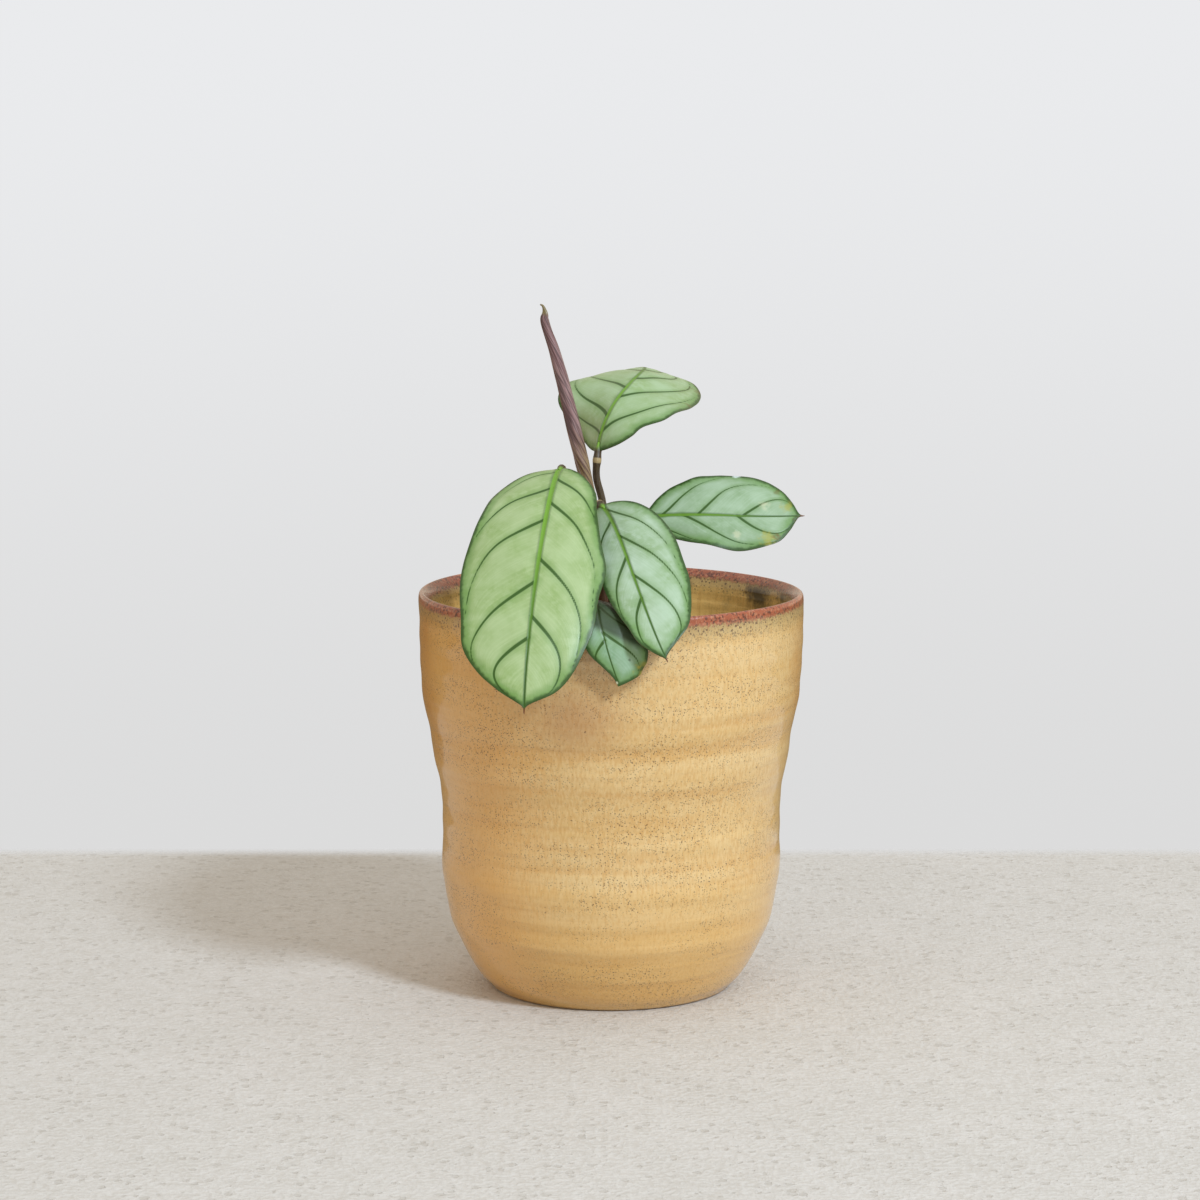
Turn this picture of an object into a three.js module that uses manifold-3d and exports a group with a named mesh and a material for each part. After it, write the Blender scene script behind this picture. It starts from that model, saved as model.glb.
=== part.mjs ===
// A young ctenanthe in a glazed stoneware pot.
// Millimetres, +Z up. The origin is the centre of the pot's flat bottom, and -Y is the front.

import * as THREE from 'three';
import * as BufferGeometryUtils from 'three/addons/utils/BufferGeometryUtils.js';
import Module from 'manifold-3d';

// Driving dimensions of the pot
const FOOT_RADIUS = 30.8;
const FOOT_EDGE = { radius: 32.3, height: 1.2 };
const FLOOR_HEIGHT = 7;
const FLOOR_RADIUS = 21.5;
const POT_SIDES = 40;

// The wall at its turning points, as [height, radius]
const OUTER_WALL = [
  [4, 35],
  [10, 38.5],
  [18, 41.7],
  [28, 43.8],
  [40, 44.1],
  [52, 44.5],
  [66, 46.9],
  [80, 49.3],
  [91, 50],
];

// The lip: up its outer side, over its edge, and down the bevel inside
const LIP = [
  [100, 50.1],
  [102.4, 50.1],
  [103.6, 49.9],
  [104.1, 49.3],
  [103.8, 48.6],
  [102.3, 47.4],
  [100, 46.8],
];
const INNER_WALL = [
  [95, 46.5],
  [84, 45.6],
  [70, 43.5],
  [55, 40.9],
  [36, 39.8],
  [20, 37.2],
  [11, 32.8],
  [7.8, 27],
];
const WALL_STEPS = 19;
const INNER_STEPS = 9;

// Soft rings that the thrower's fingers left, as heights on the wall
const THROWING_RINGS = [18, 33, 61, 76];
const RING_RELIEF = 0.35;
const RING_WIDTH = 3.5;

// Clearance between solids that touch on the real plant
const SEAT_GAP = 0.3;
const WALL_GAP = 0.4;

// Driving dimensions of the soil
const SOIL_LEVEL = 82;
const SOIL_LUMP = 0.9;
const SOIL_RIM_FADE = 4;
const SOIL_RINGS = [0.94, 0.8, 0.64, 0.48, 0.33, 0.2];
const SOIL_FOOT = 10;

// The crown, where all the stems rise together out of the soil
const CROWN_AT = [-2, -1];
const CROWN_PROFILE = [
  [0, 68],
  [3.6, 68.6],
  [4.6, 74],
  [4.8, 82],
  [4.3, 88],
  [2.6, 92.5],
  [0, 94],
];
const CROWN_SIDES = 16;
const CROWN_HOLE_SIDES = 24;

// Stems, thick where they leave the crown and slim below the leaf
const STEM_SIDES = 10;
const STEM_STEPS = 20;
const STEM_RADIUS = 0.95;
const SHEATH_RADIUS = 2;
const SHEATH_LENGTH = 0.55;
const JOINT_LENGTH = 2.6;
const JOINT_RING = { at: 0.95, radius: 0.2, width: 0.03 };

// The blade of a leaf
const BLADE_THICKNESS = 0.7;
const MIDRIB_DEPTH = 0.9;
const MIDRIB_TAPER = 0.7;
const ALONG_STEPS = 24;
const ACROSS = [-1, -0.82, -0.6, -0.38, -0.18, -0.06, 0, 0.06, 0.18, 0.38, 0.6, 0.82, 1];

// Each leaf: four points that steer its midrib, the way its upper face looks at the base and at
// the tip, the widths of its two halves from base to tip, the radius it curls round and the fold
// at its midrib in degrees. The widths lie closer together near both ends, at even steps of the
// angle that spaces the sections. A wave is [side, height, count, phase]. The left half is the
// one on the left with the tip pointing away.
const LEAVES = {
  leaf_front_large: {
    midrib: [[-12.9, -13, 137.3], [-15.2, -33, 139.4], [-21.3, -60, 103], [-21.3, -64, 83.2]],
    faces: [[-0.15, -0.55, 0.8], [0, -1, 0.25]],
    halves: {
      left: [1, 1.8, 3.2, 5.8, 8.5, 11.2, 12.4, 14.3, 16.8, 16, 15.7, 13.6, 11, 7.4, 1.6, 0.75, 0.35],
      right: [1, 2.5, 5.3, 9, 13.2, 16.1, 17.4, 18.7, 19.9, 19.3, 17.8, 16.4, 12.1, 6.6, 1.5, 0.75, 0.35],
    },
    curl: 50,
    fold: 0,
    waves: [[1, 0.5, 3.2, 0.1], [-1, 0.5, 2.6, 0.4]],
  },
  leaf_front_centre: {
    midrib: [[-2.4, -15, 128], [1.8, -30, 126.6], [6.9, -55, 108.2], [13.6, -61, 95.4]],
    faces: [[-0.3, -0.55, 0.8], [0.1, -1, 0.4]],
    halves: {
      left: [1, 2.4, 4.2, 6.5, 8.9, 11.3, 12.9, 13.5, 13.5, 13.4, 12.3, 10.7, 8.4, 4.1, 0.9, 0.7, 0.35],
      right: [1, 2, 3.1, 4.3, 5.5, 6.6, 7.4, 8, 8.1, 7.8, 6.9, 5.7, 4.8, 2.7, 0.9, 0.6, 0.35],
    },
    curl: 40,
    fold: 0,
    waves: [[1, 0.4, 2.4, 0.3], [-1, 0.4, 2.8, 0]],
  },
  leaf_front_small: {
    midrib: [[-4, -16, 93], [-2.4, -37, 114.5], [-6.6, -58.4, 112], [1.9, -54.6, 88.4]],
    faces: [[0.2, -0.3, 1], [0, -1, 0.1]],
    halves: {
      left: [1, 1.9, 3, 4.2, 4.6, 5, 5.2, 5.4, 5.6, 6, 7.4, 9.4, 10.1, 9.7, 8.3, 7.1, 0.35],
      right: [1, 1.8, 2.6, 3.6, 4.2, 4.7, 5, 5.2, 5.4, 5.7, 6.1, 5.4, 4.5, 2.4, 0.9, 0.6, 0.35],
    },
    curl: 34,
    fold: 0,
    waves: [],
  },
  leaf_right: {
    midrib: [[7.4, -5, 124], [24.8, -8, 126], [32.5, -8, 123.9], [49.9, -5, 124.4]],
    faces: [[0, -0.75, 0.65], [0.1, -0.75, 0.65]],
    halves: {
      left: [1, 1.1, 2.2, 5.7, 9, 11.1, 13, 13.8, 14.6, 14.4, 13.7, 12.6, 11, 8.2, 3.3, 0.6, 0.35],
      right: [1, 2.3, 3.6, 5, 6.2, 7.1, 8.1, 8.9, 9.6, 10, 9.7, 8.8, 7.3, 4.1, 0.9, 0.6, 0.35],
    },
    curl: 46,
    fold: 0,
    waves: [[1, 0.5, 2.6, 0.2], [-1, 0.4, 2.2, 0.6]],
  },
  leaf_back_top: {
    midrib: [[-3.4, 0, 140.7], [-1.72, 3.82, 158.13], [16.07, 18.43, 162.95], [6.27, 59.65, 157.06]],
    faces: [[-0.872, -0.658, -0.706], [0.302, -1.068, 0.911]],
    halves: {
      left: [1, 4.6, 8.2, 11.5, 14.5, 17.1, 19.5, 21.3, 21.9, 21.5, 20, 16.9, 12.6, 7.7, 2.8, 0.9, 0.35],
      right: [1, 3.8, 7.5, 10.2, 11.6, 15.9, 17.1, 17.7, 17.6, 17.4, 16.5, 13.9, 10.1, 6, 1.9, 0.8, 0.35],
    },
    curl: 106.4,
    fold: -11.4,
    waves: [[1, 0.45, 2.2, 0.5], [-1, 0.4, 2.5, 0.5]],
  },
};

// The way each stem runs from the crown up to the joint below its blade
const STEM_ROUTES = {
  leaf_front_large: [[-3.2, -2, 84], [-5.4, -4.2, 104], [-8.6, -6.4, 120], [-11.6, -8.6, 132]],
  leaf_front_centre: [[-1.6, -3, 84], [-1.8, -5.4, 100], [-2.8, -8, 114], [-3.6, -10, 123]],
  leaf_front_small: [[-2.5, -3, 84], [-3.4, -6.6, 86], [-3.9, -10.4, 88.2]],
  leaf_right: [[-0.2, -1.2, 84], [0.4, -2, 102], [1.4, -3.2, 114], [2.6, -3.9, 120.4]],
  leaf_back_top: [[-1.6, 0.6, 84], [-1, 0.8, 108], [-2.2, 0.4, 127], [-3.8, 0, 134]],
};

// The newest leaf, still rolled into a spear
const SPEAR_STEM = [[-3.2, -0.4, 84], [-3, -2, 108], [-4.1, -3.4, 124]];
const SPEAR_ROUTE = [
  [-4.9, -3.5, 127.6],
  [-7.5, -3.5, 137.7],
  [-9.4, -3.5, 146.4],
  [-12.8, -3.5, 160.6],
  [-14.6, -3.5, 167.1],
  [-17.1, -3.5, 175],
];
const SPEAR_RADII = [1.35, 2, 1.95, 1.7, 1.35, 0.85];
const SPEAR_TIP = [
  [-16.9, -3.5, 176.2],
  [-17.1, -3.4, 177.4],
  [-17.6, -3.3, 178.4],
  [-18.2, -3.2, 178.7],
];
const SPEAR_TIP_RADII = [0.6, 0.45, 0.35, 0.3];
const SPEAR_SIDES = 14;
const SPEAR_STEPS = 40;
const SPEAR_SEAM_DEPTH = 0.15;
const SPEAR_SEAM_TURNS = 0.6;
const SPEAR_SEAM_END = [0.84, 0.92];

const wasm = await Module();
wasm.setup();

function material(color, roughness, metalness = 0) {
  return new THREE.MeshStandardMaterial({ color, roughness, metalness });
}

const ochreGlaze = material(0xc9a15c, 0.3);
const soilMatter = material(0x2b1e16, 0.95);
const stemSkin = material(0x45302a, 0.5);
const rolledSkin = material(0x7d585c, 0.45);
const leafSkin = material(0x9dbd93, 0.5);

const vector = (p) => new THREE.Vector3(...p);

// Solids from grids of points

// A grid of rings closed round, with a flat cap on each end
function solidFromRings(rings) {
  const sides = rings[0].length;
  const positions = rings.flat().flatMap((p) => [p.x, p.y, p.z]);
  const index = [];
  for (let i = 0; i + 1 < rings.length; i += 1) {
    for (let j = 0; j < sides; j += 1) {
      const a = i * sides + j;
      const b = i * sides + ((j + 1) % sides);
      index.push(a, b, b + sides);
      index.push(a, b + sides, a + sides);
    }
  }
  const last = (rings.length - 1) * sides;
  for (let j = 1; j + 1 < sides; j += 1) {
    index.push(0, j + 1, j);
    index.push(last, last + j, last + j + 1);
  }
  const geometry = new THREE.BufferGeometry();
  geometry.setAttribute('position', new THREE.Float32BufferAttribute(positions, 3));
  geometry.setIndex(index);
  return geometry;
}

// A round section swept along a curve, with its radius given at each fraction of the length
// and its outline at each angle
function sweep(curve, steps, sides, radiusAt, outlineAt = () => 1) {
  const frames = curve.computeFrenetFrames(steps, false);
  const rings = [];
  for (let i = 0; i <= steps; i += 1) {
    const u = i / steps;
    const centre = curve.getPointAt(u);
    const ring = [];
    for (let j = 0; j < sides; j += 1) {
      const angle = (2 * Math.PI * j) / sides;
      const radius = radiusAt(u) * outlineAt(u, angle);
      const point = centre.clone();
      point.addScaledVector(frames.normals[i], radius * Math.cos(angle));
      point.addScaledVector(frames.binormals[i], radius * Math.sin(angle));
      ring.push(point);
    }
    rings.push(ring);
  }
  return solidFromRings(rings);
}

// A profile of [radius, height] points turned round Z
function turned(profile, sides) {
  const points = profile.map(([radius, height]) => new THREE.Vector2(radius, height));
  const geometry = new THREE.LatheGeometry(points, sides);
  geometry.rotateX(Math.PI / 2);
  return geometry;
}

function toManifold(geometry) {
  const bare = geometry.clone();
  bare.deleteAttribute('normal');
  bare.deleteAttribute('uv');
  const merged = BufferGeometryUtils.mergeVertices(bare, 1e-4);
  return new wasm.Manifold(new wasm.Mesh({
    numProp: 3,
    vertProperties: new Float32Array(merged.attributes.position.array),
    triVerts: new Uint32Array(merged.index.array),
  }));
}

function fromManifold(solid) {
  const mesh = solid.getMesh();
  const geometry = new THREE.BufferGeometry();
  geometry.setAttribute('position', new THREE.BufferAttribute(mesh.vertProperties, 3));
  geometry.setIndex(new THREE.BufferAttribute(mesh.triVerts, 1));
  return geometry;
}

// Pot

// A smooth line through [height, radius] stations, as [radius, height] points
function wallLine(stations, steps, relief = () => 0) {
  const turns = stations.map(([height, radius]) => new THREE.Vector2(radius, height));
  const curve = new THREE.SplineCurve(turns);
  return curve.getPoints(steps).map((p) => [p.x + relief(p.y), p.y]);
}

function throwingRelief(height) {
  const ring = (at) => Math.exp(-(((height - at) / RING_WIDTH) ** 2));
  return THROWING_RINGS.reduce((sum, at) => sum + RING_RELIEF * ring(at), 0);
}

function potGeometry() {
  return turned([
    [0, 0],
    [FOOT_RADIUS, 0],
    [FOOT_EDGE.radius, FOOT_EDGE.height],
    ...wallLine(OUTER_WALL, WALL_STEPS, throwingRelief),
    ...LIP.map(([height, radius]) => [radius, height]),
    ...wallLine(INNER_WALL, INNER_STEPS),
    [FLOOR_RADIUS, FLOOR_HEIGHT],
    [0, FLOOR_HEIGHT],
  ], POT_SIDES);
}

// Soil

// The inner wall's radius at a height, between two points of its line
function innerRadius(height) {
  const line = wallLine(INNER_WALL, INNER_STEPS);
  const below = line.findIndex((p) => p[1] <= height);
  const [upper, lower] = [line[below - 1], line[below]];
  return THREE.MathUtils.mapLinear(height, lower[1], upper[1], lower[0], upper[0]);
}

// The side of the soil follows the wall at the clearance, up from a bevelled foot
function soilSide() {
  const inSoil = wallLine(INNER_WALL, INNER_STEPS).filter((p) => p[1] > SOIL_FOOT && p[1] < SOIL_LEVEL);
  const wall = [...inSoil.reverse(), [innerRadius(SOIL_LEVEL), SOIL_LEVEL]];
  return wall.map(([radius, height]) => [radius - WALL_GAP, height]);
}

// The crumbled surface: a few sines of unlike length that never line up
function soilRelief(x, y) {
  const coarse = Math.sin(0.21 * x + 0.13 * y + 0.6) + Math.sin(0.29 * y - 0.17 * x + 2.1);
  const fine = Math.sin(0.61 * x - 0.47 * y) + Math.sin(0.53 * y + 0.71 * x + 1.3);
  return SOIL_LUMP * (0.5 * coarse + 0.35 * fine);
}

function soilGeometry() {
  const side = soilSide();
  const topRadius = side[side.length - 1][0];
  const geometry = turned([
    [0, FLOOR_HEIGHT + SEAT_GAP],
    [FLOOR_RADIUS, FLOOR_HEIGHT + SEAT_GAP],
    ...side,
    ...SOIL_RINGS.map((part) => [part * topRadius, SOIL_LEVEL]),
    [0, SOIL_LEVEL],
  ], POT_SIDES);
  const position = geometry.attributes.position;
  for (let i = 0; i < position.count; i += 1) {
    const x = position.getX(i);
    const y = position.getY(i);
    if (position.getZ(i) > SOIL_LEVEL - 1e-3) {
      const inward = THREE.MathUtils.smoothstep(topRadius - Math.hypot(x, y), 0, SOIL_RIM_FADE);
      position.setZ(i, SOIL_LEVEL + inward * soilRelief(x, y));
    }
  }
  return fromManifold(toManifold(geometry).subtract(toManifold(crownHole())));
}

// The plain hole that the crown stands in
function crownHole() {
  const bottom = CROWN_PROFILE[0][1] - SEAT_GAP;
  const widest = Math.max(...CROWN_PROFILE.map(([radius]) => radius));
  const radius = (widest + SEAT_GAP) / Math.cos(Math.PI / CROWN_HOLE_SIDES);
  const top = SOIL_LEVEL + 4 * SOIL_LUMP;
  const hole = turned([[0, bottom], [radius, bottom], [radius, top], [0, top]], CROWN_HOLE_SIDES);
  hole.translate(...CROWN_AT, 0);
  return hole;
}

// Stems

// The joint that ends a stem: it lies in line with the blade and stops just short of it
function stemJoint(leaf) {
  const base = vector(leaf.midrib[0]);
  const onward = vector(leaf.midrib[1]).sub(base).normalize();
  return [-JOINT_LENGTH, -SEAT_GAP].map((reach) => base.clone().addScaledVector(onward, reach));
}

// Wide as a clasping sheath at the crown, with a small ring at the joint below the blade
function stemRadius(u) {
  const sheath = 1 - THREE.MathUtils.smoothstep(u, 0, SHEATH_LENGTH);
  const ring = Math.exp(-(((u - JOINT_RING.at) / JOINT_RING.width) ** 2));
  return STEM_RADIUS + (SHEATH_RADIUS - STEM_RADIUS) * sheath + JOINT_RING.radius * ring;
}

function stemGeometry(route, joint) {
  const curve = new THREE.CatmullRomCurve3([...route.map(vector), ...joint]);
  return sweep(curve, STEM_STEPS, STEM_SIDES, stemRadius);
}

function spearStemGeometry() {
  const end = vector(SPEAR_ROUTE[0]);
  const onward = vector(SPEAR_ROUTE[1]).sub(end).normalize();
  end.addScaledVector(onward, -SEAT_GAP);
  const curve = new THREE.CatmullRomCurve3([...SPEAR_STEM.map(vector), end]);
  const radiusAt = (u) => THREE.MathUtils.lerp(SHEATH_RADIUS, SPEAR_RADII[0], u);
  return sweep(curve, STEM_STEPS, STEM_SIDES, radiusAt);
}

function stemsGeometry() {
  const crown = turned(CROWN_PROFILE, CROWN_SIDES);
  crown.translate(...CROWN_AT, 0);
  let solid = toManifold(crown).add(toManifold(spearStemGeometry()));
  for (const [name, route] of Object.entries(STEM_ROUTES)) {
    solid = solid.add(toManifold(stemGeometry(route, stemJoint(LEAVES[name]))));
  }
  return fromManifold(solid);
}

// Rolled leaf

// The roll's edge lies on the turn below it, as a step that winds slowly up the spear
function rollOutline(u, angle) {
  const turn = angle / (2 * Math.PI) + SPEAR_SEAM_TURNS * u;
  const fade = 1 - THREE.MathUtils.smoothstep(u, ...SPEAR_SEAM_END);
  return 1 - SPEAR_SEAM_DEPTH * fade * (turn - Math.floor(turn));
}

function rolledLeafGeometry() {
  const points = [...SPEAR_ROUTE, ...SPEAR_TIP].map(vector);
  const radii = [...SPEAR_RADII, ...SPEAR_TIP_RADII];
  const stops = [0];
  for (let i = 1; i < points.length; i += 1) {
    stops.push(stops[i - 1] + points[i].distanceTo(points[i - 1]));
  }
  const length = stops[stops.length - 1];
  const radiusAt = (u) => {
    const found = stops.findIndex((stop) => stop >= u * length);
    const i = THREE.MathUtils.clamp(found, 1, stops.length - 1);
    const part = (u * length - stops[i - 1]) / (stops[i] - stops[i - 1]);
    return THREE.MathUtils.lerp(radii[i - 1], radii[i], THREE.MathUtils.clamp(part, 0, 1));
  };
  const curve = new THREE.CatmullRomCurve3(points);
  return sweep(curve, SPEAR_STEPS, SPEAR_SIDES, radiusAt, rollOutline);
}

// Leaves

// The width of one half of a leaf, from a smooth line through its stations
function halfWidthAt(leaf, s, side) {
  const widths = side > 0 ? leaf.halves.right : leaf.halves.left;
  const line = new THREE.SplineCurve(widths.map((width, i) => new THREE.Vector2(i, width)));
  return line.getPoint(Math.acos(1 - 2 * s) / Math.PI).y;
}

function waveAt(leaf, s, t) {
  const ends = Math.min(1, 8 * Math.min(s, 1 - s));
  let height = 0;
  for (const [side, size, count, phase] of leaf.waves) {
    if (side * t > 0) {
      height += size * ends * Math.abs(t) ** 2.5 * Math.sin(2 * Math.PI * (count * s + phase));
    }
  }
  return height;
}

// The middle of the blade and its upward normal, at s along the midrib and t across
function bladeAt(leaf, s, t) {
  const curve = new THREE.CubicBezierCurve3(...leaf.midrib.map(vector));
  const along = curve.getTangent(s);
  const face = vector(leaf.faces[0]).lerp(vector(leaf.faces[1]), s).normalize();
  const up = face.addScaledVector(along, -face.dot(along)).normalize();
  const across = along.clone().cross(up);
  const side = t > 0 ? 1 : -1;
  const width = Math.abs(t) * halfWidthAt(leaf, s, side);
  const fold = THREE.MathUtils.degToRad(leaf.fold);
  const slope = fold - width / leaf.curl;
  const out = leaf.curl * (Math.sin(fold) - Math.sin(slope));
  const rise = leaf.curl * (Math.cos(slope) - Math.cos(fold)) + waveAt(leaf, s, t);
  const point = curve.getPoint(s).addScaledVector(across, side * out).addScaledVector(up, rise);
  const normal = up.multiplyScalar(Math.cos(slope)).addScaledVector(across, -side * Math.sin(slope));
  return { point, normal };
}

function leafGeometry(leaf) {
  const sections = [];
  for (let i = 0; i <= ALONG_STEPS; i += 1) {
    const s = 0.5 - 0.5 * Math.cos((Math.PI * i) / ALONG_STEPS);
    const upper = [];
    const lower = [];
    for (const t of ACROSS) {
      const { point, normal } = bladeAt(leaf, s, t);
      const rib = t === 0 ? MIDRIB_DEPTH * (1 - MIDRIB_TAPER * s) : 0;
      upper.push(point.clone().addScaledVector(normal, BLADE_THICKNESS / 2));
      lower.push(point.clone().addScaledVector(normal, -BLADE_THICKNESS / 2 - rib));
    }
    sections.push([...upper, ...lower]);
  }
  return solidFromFaces(sections, ACROSS.length);
}

// Sections that each hold an upper row and a lower row of points. Both faces are split into
// triangles alike, so that a waved blade keeps its thickness.
function solidFromFaces(sections, columns) {
  const positions = sections.flat().flatMap((p) => [p.x, p.y, p.z]);
  const row = 2 * columns;
  const index = [];
  const quad = (a, b, c, d) => index.push(a, b, c, a, c, d);
  for (let i = 0; i + 1 < sections.length; i += 1) {
    for (let j = 0; j + 1 < columns; j += 1) {
      const a = i * row + j;
      quad(a, a + 1, a + row + 1, a + row);
      const b = a + columns;
      index.push(b, b + row + 1, b + 1, b, b + row, b + row + 1);
    }
    const left = i * row;
    quad(left, left + row, left + row + columns, left + columns);
    const right = left + columns - 1;
    quad(right, right + columns, right + columns + row, right + row);
  }
  const last = (sections.length - 1) * row;
  for (let j = 0; j + 1 < columns; j += 1) {
    quad(j, j + columns, j + columns + 1, j + 1);
    quad(last + j, last + j + 1, last + j + columns + 1, last + j + columns);
  }
  const geometry = new THREE.BufferGeometry();
  geometry.setAttribute('position', new THREE.Float32BufferAttribute(positions, 3));
  geometry.setIndex(index);
  return geometry;
}

// Assembly

const plantInPot = new THREE.Group();

function place(name, geometry, skin) {
  const mesh = new THREE.Mesh(geometry, skin);
  mesh.name = name;
  plantInPot.add(mesh);
}

place('pot', potGeometry(), ochreGlaze);
place('potting_soil', soilGeometry(), soilMatter);
place('stems', stemsGeometry(), stemSkin);
place('rolled_leaf', rolledLeafGeometry(), rolledSkin);
for (const [name, leaf] of Object.entries(LEAVES)) {
  place(name, leafGeometry(leaf), leafSkin);
}

export default plantInPot;
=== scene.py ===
# %% [markdown]
# # A young ctenanthe in a glazed stoneware pot
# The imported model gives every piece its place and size. This lesson dresses it: a thrown pot with
# an ochre glaze, crumbly soil, streaked stalks, five silver-green leaves with their veins, and the
# newest leaf, still rolled. Sizes in the text are millimetres, and Blender gets metres.

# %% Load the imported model
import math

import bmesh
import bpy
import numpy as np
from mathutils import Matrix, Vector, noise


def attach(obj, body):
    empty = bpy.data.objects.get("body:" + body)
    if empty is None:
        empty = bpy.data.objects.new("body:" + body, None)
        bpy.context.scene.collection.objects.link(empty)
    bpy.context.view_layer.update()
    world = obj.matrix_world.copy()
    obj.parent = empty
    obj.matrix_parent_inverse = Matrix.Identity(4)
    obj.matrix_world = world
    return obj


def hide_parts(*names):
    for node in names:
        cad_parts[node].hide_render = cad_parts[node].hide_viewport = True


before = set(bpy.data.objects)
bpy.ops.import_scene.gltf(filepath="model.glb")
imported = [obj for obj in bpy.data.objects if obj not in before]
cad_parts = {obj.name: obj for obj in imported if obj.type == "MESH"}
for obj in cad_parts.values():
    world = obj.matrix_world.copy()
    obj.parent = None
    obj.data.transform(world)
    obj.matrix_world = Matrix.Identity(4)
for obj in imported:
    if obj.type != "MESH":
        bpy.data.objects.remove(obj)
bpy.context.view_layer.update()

# %% [markdown]
# ## Tools for the whole lesson
# Numpy works out thousands of points at once, which is what makes fine leaves quick. All shapes
# are written in millimetres, since that is how a plant and a pot are measured, and one factor
# turns them into Blender's metres at the moment a mesh is made.

MM = 0.001
BODY = "root"


def into_scene(name, data):
    thing = bpy.data.objects.new(name, data)
    bpy.context.scene.collection.objects.link(thing)
    return thing


print("nodes in the frame:", ", ".join(sorted(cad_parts)))

# %% [markdown]
# ## The camera
# The photograph was taken with a long lens from a little above the rim. A camera can be placed by
# eye, but the ellipses of the rim and the foot fix it: they give its tilt, its distance and its
# lens together. The camera is level from side to side, so only one angle is needed.

# %% Place the camera
CAMERA_PLACE = (-2.87 * MM, -871.7 * MM, 230.4 * MM)
CAMERA_TILT_DOWN = 8.4
CAMERA_LENS = 101.46

camera_data = bpy.data.cameras.new("camera")
camera_data.lens = CAMERA_LENS
camera_data.sensor_width = 36
camera = into_scene("camera", camera_data)
camera.location = CAMERA_PLACE
camera.rotation_euler = (math.radians(90 - CAMERA_TILT_DOWN), 0, 0)
bpy.context.scene.camera = camera
print("camera lens", CAMERA_LENS, "mm, tilted down", CAMERA_TILT_DOWN, "degrees")

# %% [markdown]
# ## Small helpers for node trees
# Materials are written as code, so each node is one call. A socket knows which tree it lies in, so
# `times`, `plus` and `minus` can each lay one Math node from their two values alone. `soft_step`
# turns a measured distance into a mask with a soft edge, and `layered` lays colours over a ground
# one after the other. The trees that these helpers build are ordinary ones.

# %% Helpers for node trees
MIX_FACTOR, MIX_FIRST, MIX_SECOND, MIX_RESULT = 0, 6, 7, 2


def feed(tree, socket, value):
    if isinstance(value, bpy.types.NodeSocket):
        tree.links.new(value, socket)
    else:
        socket.default_value = value


def add_node(tree, kind, inputs=None, **settings):
    node = tree.nodes.new("ShaderNode" + kind)
    for name, value in settings.items():
        setattr(node, name, value)
    for name, value in (inputs or {}).items():
        feed(tree, node.inputs[name], value)
    return node


def calc(operation, first, second=0.0):
    """One Math node, in the tree of whichever value comes out of a node."""
    tree = (first if isinstance(first, bpy.types.NodeSocket) else second).id_data
    return add_node(tree, "Math", {0: first, 1: second}, operation=operation).outputs[0]


def times(first, second):
    return calc("MULTIPLY", first, second)


def plus(first, second):
    return calc("ADD", first, second)


def minus(first, second):
    return calc("SUBTRACT", first, second)


def vector_calc(operation, first, second):
    return add_node(first.id_data, "VectorMath", {0: first, 1: second}, operation=operation)


def along_axis(place, axis):
    return add_node(place.id_data, "SeparateXYZ", {"Vector": place}).outputs[axis]


def noise_at(place, scale, detail):
    inputs = {"Vector": place, "Scale": scale, "Detail": detail}
    return add_node(place.id_data, "TexNoise", inputs).outputs["Fac"]


def soft_step(value, start, end):
    """0 before start, 1 after end, smooth between. With start above end it falls instead."""
    inputs = {
        "Value": value, "From Min": min(start, end), "From Max": max(start, end),
        "To Min": float(start > end), "To Max": float(start < end),
    }
    return add_node(value.id_data, "MapRange", inputs, interpolation_type="SMOOTHSTEP").outputs[0]


def mix_colour(factor, first, second):
    node = add_node(factor.id_data, "Mix", data_type="RGBA")
    for number, value in ((MIX_FACTOR, factor), (MIX_FIRST, first), (MIX_SECOND, second)):
        feed(factor.id_data, node.inputs[number], value)
    return node.outputs[MIX_RESULT]


def layered(ground, *layers):
    """Lay colours over a ground, each given by its mask, its greatest strength and itself."""
    for mask, strength, over in layers:
        ground = mix_colour(times(mask, strength), ground, over)
    return ground


def colour(red, green, blue):
    """A colour picked, 0 to 255, as the linear light that Blender works in."""
    parts = [part / 255 for part in (red, green, blue)]
    linear = [p / 12.92 if p <= 0.04045 else ((p + 0.055) / 1.055) ** 2.4 for p in parts]
    return (*linear, 1.0)


# %% [markdown]
# ## Effects that several finishes share
# Glaze, clay, soil, stalk and leaf all have soft clouds of a second colour, and most have specks
# or long fibres too. Each effect is a node group, built once, that any material can place with
# its own values. Noise is measured in millimetres, so a speck keeps its true size everywhere.

# %% A helper that makes a node group with named sockets
def new_group(name, numbers, output):
    """A group that takes a place and some numbers, and puts out one number for each point."""
    group = bpy.data.node_groups.new(name, "ShaderNodeTree")
    group.interface.new_socket("Place", in_out="INPUT", socket_type="NodeSocketVector")
    for socket, value in numbers.items():
        item = group.interface.new_socket(socket, in_out="INPUT", socket_type="NodeSocketFloat")
        item.default_value = value
    group.interface.new_socket(output, in_out="OUTPUT", socket_type="NodeSocketFloat")
    start = group.nodes.new("NodeGroupInput")
    end = group.nodes.new("NodeGroupOutput")
    return group, start.outputs, end.inputs[output]


def place_group(group, place, *numbers):
    """Put a shared effect into the tree of `place`, with its numbers in their order."""
    node = add_node(place.id_data, "Group", node_tree=group)
    for socket, value in zip(node.inputs, (place, *numbers)):
        feed(place.id_data, socket, value)
    return node.outputs[0]


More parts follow.
